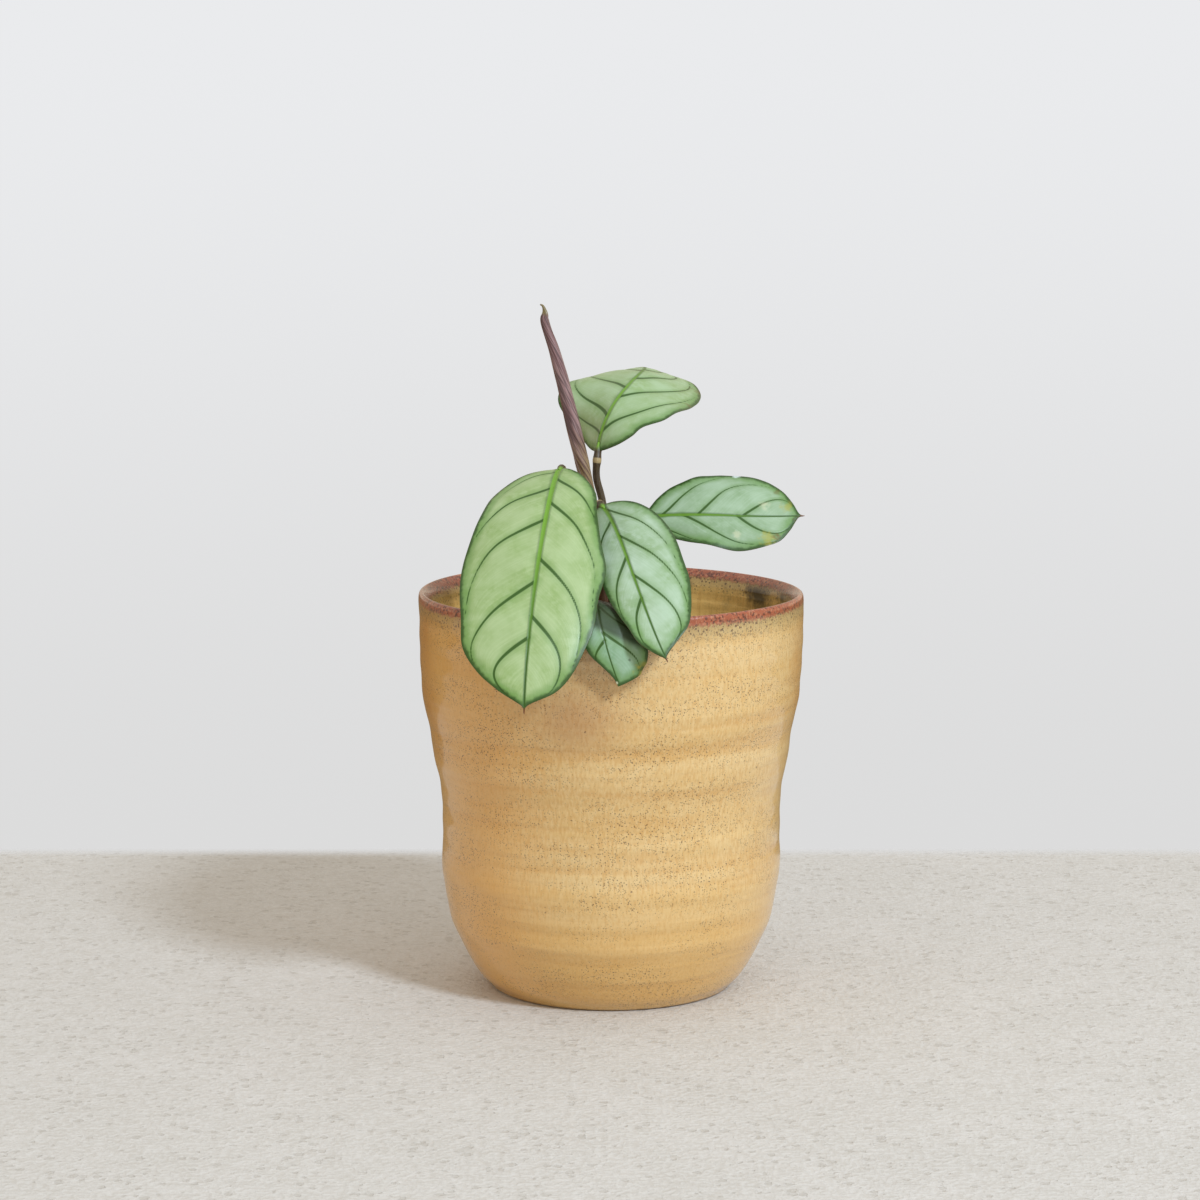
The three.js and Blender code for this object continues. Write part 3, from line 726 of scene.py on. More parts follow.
# %% What steers each leaf
LEAVES = {  # the widths lie closer together near both ends of a leaf
    "leaf_front_large": {
        "midrib": [(-12.9, -13, 137.3), (-15.2, -33, 139.4), (-21.3, -60, 103), (-21.3, -64, 83.2)],
        "faces": [(-0.15, -0.55, 0.8), (0, -1, 0.25)],
        "left": [1, 1.8, 3.2, 5.8, 8.5, 11.2, 12.4, 14.3, 16.8, 16, 15.7, 13.6, 11, 7.4, 1.6,
                 0.75, 0.35],
        "right": [1, 2.5, 5.3, 9, 13.2, 16.1, 17.4, 18.7, 19.9, 19.3, 17.8, 16.4, 12.1, 6.6, 1.5,
                  0.75, 0.35],
        "curl": 50, "fold": 0,
        "waves": [(1, 0.5, 3.2, 0.1), (-1, 0.5, 2.6, 0.4)],
    },
    "leaf_front_centre": {
        "midrib": [(-2.4, -15, 128), (1.8, -30, 126.6), (6.9, -55, 108.2), (13.6, -61, 95.4)],
        "faces": [(-0.3, -0.55, 0.8), (0.1, -1, 0.4)],
        "left": [1, 2.4, 4.2, 6.5, 8.9, 11.3, 12.9, 13.5, 13.5, 13.4, 12.3, 10.7, 8.4, 4.1, 0.9,
                 0.7, 0.35],
        "right": [1, 2, 3.1, 4.3, 5.5, 6.6, 7.4, 8, 8.1, 7.8, 6.9, 5.7, 4.8, 2.7, 0.9, 0.6, 0.35],
        "curl": 40, "fold": 0,
        "waves": [(1, 0.4, 2.4, 0.3), (-1, 0.4, 2.8, 0)],
    },
    "leaf_front_small": {
        "midrib": [(-4, -16, 93), (-2.4, -37, 114.5), (-6.6, -58.4, 112), (1.9, -54.6, 88.4)],
        "faces": [(0.2, -0.3, 1), (0, -1, 0.1)],
        "left": [1, 1.9, 3, 4.2, 4.6, 5, 5.2, 5.4, 5.6, 6, 7.4, 9.4, 10.1, 9.7, 8.3, 7.1, 0.35],
        "right": [1, 1.8, 2.6, 3.6, 4.2, 4.7, 5, 5.2, 5.4, 5.7, 6.1, 5.4, 4.5, 2.4, 0.9, 0.6, 0.35],
        "curl": 34, "fold": 0, "needle": 0.2,
        "waves": [],
    },
    "leaf_right": {
        "midrib": [(7.4, -5, 124), (24.8, -8, 126), (32.5, -8, 123.9), (49.9, -5, 124.4)],
        "faces": [(0, -0.75, 0.65), (0.1, -0.75, 0.65)],
        "left": [1, 1.1, 2.2, 5.7, 9, 11.1, 13, 13.8, 14.6, 14.4, 13.7, 12.6, 11, 8.2, 3.3, 0.6,
                 0.35],
        "right": [1, 2.3, 3.6, 5, 6.2, 7.1, 8.1, 8.9, 9.6, 10, 9.7, 8.8, 7.3, 4.1, 0.9, 0.6, 0.35],
        "curl": 46, "fold": 0,
        "waves": [(1, 0.5, 2.6, 0.2), (-1, 0.4, 2.2, 0.6)],
    },
    "leaf_back_top": {
        "midrib": [(-3.4, 0, 140.7), (-1.72, 3.82, 158.13), (16.07, 18.43, 162.95), (6.27, 59.65,
                   157.06)],
        "faces": [(-0.872, -0.658, -0.706), (0.302, -1.068, 0.911)],
        "left": [1, 4.6, 8.2, 11.5, 14.5, 17.1, 19.5, 21.3, 21.9, 21.5, 20, 16.9, 12.6, 7.7, 2.8,
                 0.9, 0.35],
        "right": [1, 3.8, 7.5, 10.2, 11.6, 15.9, 17.1, 17.7, 17.6, 17.4, 16.5, 13.9, 10.1, 6,
                  1.9, 0.8, 0.35],
        "curl": 106.4, "fold": -11.4,
        "waves": [(1, 0.45, 2.2, 0.5), (-1, 0.4, 2.5, 0.5)],
    },
}
print("leaves:", ", ".join(LEAVES))


# %% The outline and the bent surface
NEEDLE_NARROWING = 0.75
NEEDLE_SPAN = (0.955, 0.985)


def half_width_at(leaf, s, t):
    """The width of one half of a leaf, from a smooth line through its stations."""
    part = np.arccos(np.clip(1 - 2 * s, -1, 1)) / math.pi
    widths = []
    for half in ("left", "right"):
        line = smooth_line(np.array(leaf[half])[:, None], 24)[:, 0]
        widths.append(np.interp(part, np.linspace(0, 1, len(line)), line))
    needle = leaf.get("needle", NEEDLE_NARROWING) * smoothed(s, *NEEDLE_SPAN)
    return np.where(t > 0, widths[1], widths[0]) * (1 - needle)


def midrib_at(leaf, s):
    p = np.array(leaf["midrib"], float)
    s = s[:, None]
    r = 1 - s
    point = r**3 * p[0] + 3 * r**2 * s * p[1] + 3 * r * s**2 * p[2] + s**3 * p[3]
    along = r**2 * (p[1] - p[0]) + 2 * r * s * (p[2] - p[1]) + s**2 * (p[3] - p[2])
    return point, unit(along)


def waves_at(leaf, s, t):
    height = np.zeros_like(s)
    ends = np.minimum(1, 8 * np.minimum(s, 1 - s))
    for side, size, count, phase in leaf["waves"]:
        wave = size * ends * np.abs(t) ** 2.5 * np.sin(2 * math.pi * (count * s + phase))
        height += np.where(side * t > 0, wave, 0)
    return height


def blade_at(leaf, s, t):
    """The middle of the blade and its upward normal, at s along the midrib and t across."""
    point, along = midrib_at(leaf, s)
    base_face, tip_face = np.array(leaf["faces"], float)
    face = mixed(base_face, tip_face, s[:, None])
    up = unit(face - along * np.sum(face * along, axis=1, keepdims=True))
    across = np.cross(along, up)
    side = np.where(t > 0, 1, -1)
    width = np.abs(t) * half_width_at(leaf, s, t)
    fold = math.radians(leaf["fold"])
    slope = fold - width / leaf["curl"]
    out = leaf["curl"] * (math.sin(fold) - np.sin(slope))
    rise = leaf["curl"] * (np.cos(slope) - math.cos(fold)) + waves_at(leaf, s, t)
    point = point + across * (side * out)[:, None] + up * rise[:, None]
    normal = up * np.cos(slope)[:, None] - across * (side * np.sin(slope))[:, None]
    return point, normal


# %% [markdown]
# ## The leaves: where the veins run
# Each side vein leaves the midrib at its own place, leans forward as it goes out, and then sweeps
# along the margin without reaching it. Painting them would blur when seen close, so each is a
# real line on the blade. Every point of the mesh then knows how far it lies from the midrib, from
# the nearest vein and from the margin, and both the relief and the colours follow from that.

# %% Veins, as the places where they leave the midrib
VEIN_REACH = 0.93
VEINS = {  # for each half: (where it starts, its lean, its sweep, how faint it is)
    "leaf_front_large": {
        -1: [(0.147, 0.136, 0.091, 0), (0.285, 0.135, 0.342, 0), (0.498, 0.166, 0.265, 0),
             (0.677, 0.175, 0.297, 0)],
        1: [(0.085, 0.06, 0.3, 0.35), (0.214, 0.101, 0.161, 0), (0.36, 0.143, 0.288, 0),
            (0.572, 0.182, 0.117, 0), (0.743, 0.163, 0.1, 0)],
    },
    "leaf_front_centre": {
        -1: [(0.065, 0.334, 0.378, 0), (0.31, 0.319, 0.258, 0), (0.542, 0.324, 0.275, 0)],
        1: [(0.189, 0.168, 0.293, 0), (0.441, 0.207, 0.166, 0), (0.662, 0.172, 0.372, 0)],
    },
    "leaf_front_small": {
        -1: [(0.15, 0.25, 0.2, 0), (0.35, 0.25, 0.2, 0), (0.55, 0.28, 0.2, 0),
             (0.765, 0.244, 0.049, 0)],
        1: [(0.2, 0.1, 0.1, 0), (0.42, 0.08, 0.1, 0), (0.62, 0.08, 0.1, 0),
            (0.808, 0.072, 0.014, 0)],
    },
    "leaf_right": {
        -1: [(0.113, 0.2, 0.308, 0), (0.333, 0.286, 0.714, 0), (0.636, 0.433, 0.363, 0)],
        1: [(0, 0.189, 0.296, 0), (0.232, 0.388, 0.36, 0), (0.598, 0.311, 0.404, 0)],
    },
    "leaf_back_top": {
        -1: [(0.084, 0.166, 0.266, 0.2), (0.193, 0.303, 0.491, 0), (0.415, 0.333, 0.311, 0),
             (0.651, 0.413, 0.303, 0), (0.78, 0.3, 0.2, 0)],
        1: [(0.092, 0.295, 0.424, 0), (0.326, 0.342, 0.37, 0), (0.519, 0.372, 0.319, 0),
            (0.68, 0.35, 0.1, 0), (0.82, 0.3, 0.1, 0)],
    },
}


def vein_shift(lean, sweep, out):
    """How far forward a vein has come when it is a part `out` of the way to the margin."""
    return lean * out + sweep * out**6


def side_vein(leaf, side, start, lean, sweep):
    out = np.linspace(0, VEIN_REACH, 160)
    s = start + vein_shift(lean, sweep, out)
    kept = s < 0.975
    return blade_at(leaf, s[kept], side * out[kept])[0]


def distance_to(points, line):
    """Each point's distance to the nearest point of a line, and how far along the line that is."""
    squared = (
        np.sum(points**2, axis=1)[:, None] + np.sum(line**2, axis=1)[None, :] - 2 * points @ line.T
    )
    nearest = squared.argmin(axis=1)
    gap = np.sqrt(np.maximum(squared[np.arange(len(points)), nearest], 0))
    return gap, nearest / max(len(line) - 1, 1)


# %% Measure a blade at each of its points
VEIN_HALF_WIDTH = 0.33
VEIN_SWELL = 0.2
VEIN_FADE = 0.35
MARGIN_POINTS = 300
MIDRIB_POINTS = 400
FAR_FROM_VEINS = 9.0
HALVES_APART = 40


def crowded_at_ends(count):
    """Steps from 0 to 1 that lie closer together near both ends."""
    return 0.5 - 0.5 * np.cos(np.linspace(0, math.pi, count))


def measure_blade(name, s, t, points):
    leaf = LEAVES[name]
    margin_s = crowded_at_ends(MARGIN_POINTS)
    margins = [blade_at(leaf, margin_s, np.full(MARGIN_POINTS, side))[0] for side in (-1.0, 1.0)]
    edge = np.minimum(*[distance_to(points, margin)[0] for margin in margins])
    midrib = blade_at(leaf, np.linspace(0, 1, MIDRIB_POINTS), np.zeros(MIDRIB_POINTS))[0]
    rib = distance_to(points, midrib)[0]
    vein, gap = np.full((2, len(s)), FAR_FROM_VEINS)
    fine = np.zeros(len(s))
    length = steps_along(midrib_at(leaf, np.linspace(0, 1, 60))[0]).sum()
    for side, rules in VEINS[name].items():
        usual_lean, usual_sweep = np.mean(rules, axis=0)[1:3]
        shift = vein_shift(usual_lean, usual_sweep, np.abs(t))
        fine = np.where(side * t >= 0, (s - shift) * length + HALVES_APART * side, fine)
        for start, lean, sweep, faint in rules:
            distance, part = distance_to(points, side_vein(leaf, side, start, lean, sweep))
            half_width = VEIN_HALF_WIDTH + VEIN_SWELL * (1 - smoothed(part, 0.1, 0.75))
            fade = faint + VEIN_FADE * smoothed(part, 0.7, 1)
            vein = np.minimum(vein, distance / half_width + fade)
            gap = np.minimum(gap, distance)
    gap = np.minimum(gap, rib)
    return {"rib": rib, "vein": vein, "edge": edge, "fine": fine, "along": s, "gap": gap}


# %% [markdown]
# ## The leaves: the sheet itself
# A blade is about a third of a millimetre thick, with a keel under the midrib and a shallow
# groove above it. The points are laid closer together at the midrib and at the margin, where the
# shape changes fastest. Between the veins the blade swells a little, like a quilt. At the end of
# the leaf it all runs out into a thin drip tip.

# %% Grow a blade
LAMINA_THICKNESS = 0.32
MARGIN_THINNING = 0.94
NEEDLE_FROM = 0.975
NEEDLE_THINNING = 0.55
KEEL_DEPTH = 0.9
KEEL_TAPER = 0.7
KEEL_HALF_WIDTH = 1.0
GROOVE_DEPTH = 0.16
SHOULDER_HEIGHT = 0.1
VEIN_SINK = 0.07
VEIN_KEEL = 0.1
QUILT = 0.13
SWAY = 0.16
STEP_ACROSS = 0.36
STEP_ALONG = 0.34
FINE_STEP = 0.27
FINE_UP_TO = 15


def blade_grid(leaf):
    length = steps_along(np.array(leaf["midrib"], float)).sum()
    widest = max(leaf["left"] + leaf["right"])
    fine = widest < FINE_UP_TO
    rows = int(length / (FINE_STEP if fine else STEP_ALONG))
    half = int(widest / (FINE_STEP if fine else STEP_ACROSS))
    out = np.linspace(0, 1, half + 1)
    out = out - 0.09 * np.sin(2 * math.pi * out)
    across = np.concatenate([-out[:0:-1], out])
    return crowded_at_ends(rows), across


def over_and_under(upper, under, rows):
    """Loops round the blade: each row goes out over the upper face and back under it."""
    upper, under = (side.reshape(rows, -1, *side.shape[1:]) for side in (upper, under))
    return np.concatenate([upper, under[:, ::-1]], axis=1)


def grow_blade(name, upper, under):
    leaf = LEAVES[name]
    along, across = blade_grid(leaf)
    s = np.repeat(along, len(across))
    t = np.tile(across, len(along))
    middle, normal = blade_at(leaf, s, t)
    values = measure_blade(name, s, t, middle)
    slim = 1 - KEEL_TAPER * s
    needle = smoothed(s, NEEDLE_FROM, 1)
    half_thick = LAMINA_THICKNESS / 2 * np.sqrt(1 - MARGIN_THINNING * np.abs(t) ** 8)
    half_thick = half_thick * (1 - NEEDLE_THINNING * needle)
    shoulder = SHOULDER_HEIGHT * np.exp(-(((values["rib"] - 0.95 * slim) / 0.45) ** 2))
    groove = GROOVE_DEPTH * np.exp(-((values["rib"] / (0.42 * slim + 0.1)) ** 2))
    sunk = VEIN_SINK * np.exp(-(values["vein"] ** 2))
    quilt = QUILT * (1 - np.exp(-((values["gap"] / 1.9) ** 2))) * smoothed(values["edge"], 0, 3)
    x, y, z = middle.T
    sway = SWAY * np.sin(0.31 * x + 1.1) * np.sin(0.23 * z + 0.27 * y)
    top = sway * smoothed(values["rib"], 0.5, 4) + quilt
    keel_part = np.clip(1 - (values["rib"] / (KEEL_HALF_WIDTH * slim)) ** 2, 0, 1)
    keel = KEEL_DEPTH * slim * np.sqrt(keel_part) * (1 - needle)
    keel = keel + VEIN_KEEL * np.exp(-((values["vein"] / 1.2) ** 2))
    keel = keel * smoothed(values["edge"], 0, 0.5)
    raised = (shoulder - groove) * slim * (1 - needle) - sunk
    upper_points = middle + normal * (top + half_thick + raised)[:, None]
    under_points = middle + normal * (top - half_thick - keel)[:, None]

    rows, columns = len(along), len(across)
    carried = {
        key: over_and_under(value, value, rows).ravel()
        for key, value in values.items() if key != "gap"
    }
    picks = (np.arange((rows - 1) * 2 * columns) % (2 * columns)) >= columns
    make_piece(
        "blade_" + name.removeprefix("leaf_"),
        over_and_under(upper_points, under_points, rows).reshape(-1, 3),
        tube_faces(rows, 2 * columns), [upper, under], name, carried,
        [*picks, False, False],
    )


# %% [markdown]
# ## The leaves: their finish
# The upper face is a pale silvery green that looks almost painted, with a bright midrib, dark
# veins, and a deep green border that turns brown-purple at the very edge. Masks made from the
# measured distances give all of that. The finest veins, half a millimetre apart, are too small
# for the mesh, so they are a bump that follows the lines of the large ones. Real leaves also carry
# marks: a scuff, a yellowed margin, a brown dot. Each is a small ragged patch round one place.

# %% Finish for the upper face
MIDRIB_GREEN = colour(122, 172, 52)
VEIN_GREEN = colour(48, 84, 20)
BORDER_GREEN = colour(96, 138, 62)
DEEP_GREEN = colour(36, 68, 14)
EDGE_BROWN = colour(78, 66, 44)
TIP_BROWN = colour(112, 66, 36)
# Painted shadow on the small leaf: its colour, and the slope, level and fade of its edge.
PAINTED_SHADE_GREEN = colour(34, 44, 14)
PAINTED_SHADE_SLOPE = 0.42
PAINTED_SHADE_LEVEL = 99.6
PAINTED_SHADE_FADE = 2.4
PAINTED_SHADE_FACE = "small leaf face"


def threads_along(fine, per_mm):
    inputs = {"W": fine, "Scale": per_mm, "Detail": 2.0}
    return add_node(fine.id_data, "TexNoise", inputs, noise_dimensions="1D").outputs["Fac"]


def upper_face(name, lamina, silver, rib_wide, rib_bright, vein_slim, marks):
    material, shader, place = new_material(
        name, Coat_Weight=0.06, Coat_Roughness=0.2, Specular_IOR_Level=0.3)
    keys = ("rib", "edge", "fine", "along")
    rib, edge, fine, along = (surface_value(shader, key) for key in keys)
    vein = times(surface_value(shader, "vein"), vein_slim)
    veil = place_group(clouds, place, 0.13, 0.2)
    dapple = place_group(clouds, place, 0.5, 0.16)
    threads = threads_along(fine, 1.5)
    feather = soft_step(threads, 0.4, 0.66)
    ragged = minus(noise_at(place, 0.6, 3.0), 0.5)
    worn_edge = plus(edge, times(ragged, 1.3))
    rib_part = calc("DIVIDE", rib, minus(rib_wide, times(along, 0.72 * rib_wide)))
    rib_base = tuple(mixed(np.array(VEIN_GREEN), np.array(MIDRIB_GREEN), rib_bright).tolist())
    rib_green = mix_colour(soft_step(along, 0.35, 0.95), rib_base, VEIN_GREEN)
    face = layered(
        lamina,
        (calc("MAXIMUM", veil, times(dapple, 0.6)), 0.85, silver),
        (times(feather, dapple), 0.3, silver),
        (minus(1.0, feather), 0.07, BORDER_GREEN),
        (soft_step(worn_edge, 3.6, 0.8), 0.72, BORDER_GREEN),
        (soft_step(vein, 5.0, 0.8), 0.34, BORDER_GREEN),
        (soft_step(vein, 1.2, 0.55), 0.95, VEIN_GREEN),
        (soft_step(worn_edge, 1.3, 0.4), 0.85, DEEP_GREEN),
        (soft_step(rib_part, 1.9, 0.9), 0.5, VEIN_GREEN),
        (soft_step(rib_part, 0.95, 0.65), 0.95, rib_green),
        (soft_step(edge, 0.16, 0.04), 1.0, EDGE_BROWN),
    )
    for spot, reach, strength, tone in marks:
        away = vector_calc("DISTANCE", place, spot).outputs["Value"]
        away = plus(away, times(ragged, 2.6 * reach))
        face = layered(face, (soft_step(away, reach, 0.15 * reach), strength, tone))
    # The small leaf's upper part, under the centre leaf, is painted a deep green: a painted shadow
    # of the leaves above it.
    if name == PAINTED_SHADE_FACE:
        level = plus(along_axis(place, "Z"), times(along_axis(place, "X"), PAINTED_SHADE_SLOPE))
        painted_shade = soft_step(level, PAINTED_SHADE_LEVEL, PAINTED_SHADE_LEVEL + PAINTED_SHADE_FADE)
        face = layered(face, (painted_shade, 0.85, PAINTED_SHADE_GREEN))
    else:
        tip = times(soft_step(along, 0.972, 0.985), soft_step(rib, 1.3, 0.7))
        face = layered(face, (tip, 0.9, TIP_BROWN))
    skin = plus(times(threads, 0.35), times(noise_at(place, 3.0, 2.0), 0.6))
    finish(shader, face, plus(0.34, times(veil, 0.12)), skin, 0.03)
    return material


# %% Finish for the underside
WINE = colour(112, 58, 74)
DARK_WINE = colour(78, 38, 52)
UNDER_RIB = colour(132, 106, 86)

leaf_under, shader, place = new_material("leaf underside")
threads = threads_along(surface_value(shader, "fine"), 2.3)
under = layered(
    WINE,
    (place_group(clouds, place, 0.12, 0.25), 1.0, DARK_WINE),
    (threads, 0.3, DARK_WINE),
    (soft_step(surface_value(shader, "vein"), 1.3, 0.5), 0.6, DARK_WINE),
    (soft_step(surface_value(shader, "rib"), 1.0, 0.5), 1.0, UNDER_RIB),
    (soft_step(surface_value(shader, "edge"), 0.8, 0.2), 1.0, EDGE_BROWN),
)
finish(shader, under, 0.5, threads, 0.08)
print("both faces of the leaves ready")

# %% Grow all five
SCORCH = colour(44, 52, 34)
BRUISE = colour(212, 214, 180)
SCUFF = colour(226, 240, 236)
YELLOWED = colour(172, 166, 70)
BROWNED = colour(110, 94, 50)
RIGHT_MARKS = [  # for each mark: its place, its reach, its strength and its colour
    ((32.5, 3.5, 133.5), 1.3, 0.8, SCUFF), ((31.3, -2.8, 129), 0.28, 0.9, SCORCH),
    ((32.1, -2.6, 128), 0.16, 0.7, SCORCH), ((39.4, -4.1, 127.1), 1.7, 0.5, BRUISE),
    ((32.1, -10.7, 119.8), 1.6, 0.5, BRUISE), ((40.3, -10.5, 118.9), 2.6, 0.6, YELLOWED),
    ((42.5, -9.6, 119.8), 1.5, 0.8, BROWNED), ((45.7, -3.9, 126.3), 2.2, 0.5, YELLOWED),
    ((47.6, -5.2, 122.8), 1.7, 0.55, BROWNED), ((43.5, -0.4, 130.2), 1.6, 0.5, BROWNED),
]
SMALL_MARKS = [
    ((4.2, -54.5, 94.9), 0.55, 0.85, SCORCH), ((5.9, -54.1, 95.3), 0.5, 0.7, SCORCH),
    ((7.4, -53.9, 91.3), 2.2, 0.85, YELLOWED), ((8.2, -53.6, 93.6), 1.8, 0.5, YELLOWED),
    ((1.2, -54.8, 89.2), 0.5, 0.7, BRUISE),
]
TOP_MARKS = [((23.2, 27.4, 153.6), 3.2, 0.5, BROWNED), ((20.5, 10, 151.8), 1.6, 0.5, BROWNED)]
UPPER_FACES = {  # name, two greens, width and brightness of the midrib, slimness of veins, marks
    "leaf_front_large": (
        "large leaf face", colour(144, 170, 106), colour(174, 194, 144), 0.9, 0.8, 1.0, []),
    "leaf_front_centre": (
        "centre leaf face", colour(148, 176, 134), colour(182, 204, 180), 0.6, 0.6, 1.2, []),
    "leaf_front_small": (
        PAINTED_SHADE_FACE, colour(126, 162, 126), colour(160, 190, 164), 0.5, 0.2, 1.25, SMALL_MARKS),
    "leaf_right": (
        "right leaf face", colour(138, 166, 128), colour(168, 192, 164), 0.6, 0.55, 1.3,
        RIGHT_MARKS),
    "leaf_back_top": (
        "top leaf face", colour(146, 174, 118), colour(172, 196, 158), 0.7, 0.75, 1.0, TOP_MARKS),
}
for leaf_name, face_values in UPPER_FACES.items():
    grow_blade(leaf_name, upper_face(*face_values), leaf_under)

# %% [markdown]
# ## The stalks: their shape
# Each leaf stands on a thin round stalk. Below, the stalk widens into a sheath that clasps the
# ones inside it, and just under the blade is a joint, a small ring that lets the leaf turn with
# the light. A tube along a smooth route gives all three if its radius follows the height. The
# stalk runs a little way into the blade, because on the plant the midrib is its continuation.

# %% Routes of the stalks, from the crown up
STEM_ROUTES = {
    "leaf_front_large": [(-3.2, -2, 84), (-5.4, -4.2, 104), (-8.6, -6.4, 120), (-11.6, -8.6, 132)],
    "leaf_front_centre": [(-1.6, -3, 84), (-1.8, -5.4, 100), (-2.8, -8, 114), (-3.6, -10, 123)],
    "leaf_front_small": [(-2.5, -3, 84), (-3.4, -6.6, 86), (-3.9, -10.4, 88.2)],
    "leaf_right": [(-0.2, -1.2, 84), (0.4, -2, 102), (1.4, -3.2, 114), (2.6, -3.9, 120.4)],
    "leaf_back_top": [(-1.6, 0.6, 84), (-1, 0.8, 108), (-2.2, 0.4, 127), (-3.8, 0, 134)],
}
SPEAR_STEM = [(-3.2, -0.4, 84), (-3, -2, 108), (-4.1, -3.4, 124), (-4.83, -3.5, 127.3)]
CROWN_LINE = [(0.02, 68), (3.6, 68.6), (4.6, 74), (4.8, 82), (4.3, 88), (2.6, 92.5), (0.02, 94)]
STEM_RADIUS = 0.95
SHEATH_RADIUS = 2
SHEATH_LENGTH = 0.55
JOINT_LENGTH = 2.6
JOINT_RING = {"at": 0.962, "radius": 0.2, "width": 0.02}
STEM_INTO_BLADE = 2.2
STEM_ROWS = 130
STEM_SIDES = 30
CROWN_SIDES = 56


def stem_radius(u):
    sheath = 1 - smoothed(u, 0, SHEATH_LENGTH)
    ring = np.exp(-(((u - JOINT_RING["at"]) / JOINT_RING["width"]) ** 2))
    return STEM_RADIUS + (SHEATH_RADIUS - STEM_RADIUS) * sheath + JOINT_RING["radius"] * ring


def stalk(route, radius_at, sheath_turn):
    """A tube with fine ribs, whose sheath overlaps itself along one edge."""
    line, length = even_route(route, STEM_ROWS)
    u = np.linspace(0, 1, STEM_ROWS)[:, None]
    share = np.linspace(0, 1, STEM_SIDES, endpoint=False)[None, :]
    ribs = 1 + 0.022 * np.cos(2 * math.pi * 9 * share + 2.5 * u)
    overlap = 1 - 0.14 * share * (1 - smoothed(u, 0.42, 0.6))
    turns = 2 * math.pi * (share + sheath_turn - 0.35 * u)
    return tube(line, radius_at(u) * ribs * overlap, turns), np.repeat(u[:, 0], STEM_SIDES), length


# %% Grow the stalks and the crown
stem_shapes, stem_along = [], []
for number, (leaf_name, route) in enumerate(STEM_ROUTES.items()):
    base, following = (np.array(LEAVES[leaf_name]["midrib"][k], float) for k in (0, 1))
    onward = unit(following - base)
    reaches = (-JOINT_LENGTH, -0.3, STEM_INTO_BLADE)
    length_out = even_route([*route, *(base + onward * reach for reach in reaches[:2])], 3)[1]

    def radius_here(u, whole=length_out):
        gone = u * (whole + STEM_INTO_BLADE + 0.3) / whole
        inside = smoothed(gone * whole, whole + 0.2, whole + STEM_INTO_BLADE + 0.3)
        return stem_radius(gone) * (1 - 0.72 * inside)

    shape, along_part, length = stalk(
        [*route, *(base + onward * reach for reach in reaches)], radius_here, 0.3 * number)
    stem_shapes.append(shape)
    stem_along.append(along_part * length / length_out)
spear_stalk = stalk(SPEAR_STEM, lambda u: mixed(SHEATH_RADIUS, 1.35, u), 0.1)
stem_shapes.append(spear_stalk[0])
stem_along.append(spear_stalk[1] * 0.7)

crown_line = smooth_line(CROWN_LINE, 8)
turn = round_turn(CROWN_SIDES)[None, :]
crown_radius = crown_line[:, :1] * (1 + 0.05 * np.cos(5 * turn + crown_line[:, 1:] * 0.12))
crown_points = np.stack([
    CROWN_AT[0] + crown_radius * np.cos(turn), CROWN_AT[1] + crown_radius * np.sin(turn),
    np.broadcast_to(crown_line[:, 1:], crown_radius.shape)], axis=2).reshape(-1, 3)
stem_shapes.append((crown_points, grid_faces(len(crown_line), CROWN_SIDES, closed=True).tolist()))
stem_along.append(np.zeros(len(crown_points)))
print("stalks:", len(STEM_ROUTES) + 1)

# %% [markdown]
# ## The stalks: their finish
# The skin is a dark brown-purple with fine ribs, redder and paler towards the soil. The joint
# below each blade is a tan ring. The colour changes along the stalk, so each point of the mesh
# carries how far up it is, and the fibres are noise stretched upward.

# %% Finish the stalks
STALK_BROWN = colour(60, 45, 33)
STALK_OLIVE = colour(96, 82, 52)
STALK_RED = colour(112, 58, 50)
STALK_PALE = colour(150, 128, 96)
JOINT_TAN = colour(186, 164, 118)

stalk_skin, shader, place = new_material("stalk skin", Coat_Weight=0.15, Coat_Roughness=0.3)
climb = surface_value(shader, "climb")
ribs = place_group(fibres, place, 2.6, 0.07)
from_ring = calc("ABSOLUTE", minus(climb, JOINT_RING["at"]))
skin = layered(
    STALK_BROWN,
    (place_group(clouds, place, 0.22, 0.22), 0.45, STALK_OLIVE),
    (soft_step(ribs, 0.42, 0.7), 0.5, STALK_OLIVE),
    (soft_step(climb, 0.6, 0.15), 0.75, STALK_RED),
    (soft_step(climb, 0.18, 0.0), 0.7, STALK_PALE),
    (soft_step(from_ring, 0.013, 0.007), 0.85, JOINT_TAN),
    (soft_step(climb, 1.0, 1.04), 1.0, MIDRIB_GREEN),
)
finish(shader, skin, plus(0.38, times(ribs, 0.2)), ribs, 0.12)

stem_points, stem_faces = joined(stem_shapes)
make_piece("leaf_stalks", stem_points, stem_faces, [stalk_skin], "stems",
           {"climb": np.concatenate(stem_along)})

# %% [markdown]
# ## The rolled leaf: its shape
# The newest leaf is still rolled like a paper scroll, with its wine-red underside outward. Its
# free edge lies on the turn below as a small step that winds up the spear. The rings of the tube
# begin at that edge, so the step stays sharp at any length. The last few millimetres have dried
# into a little hook.

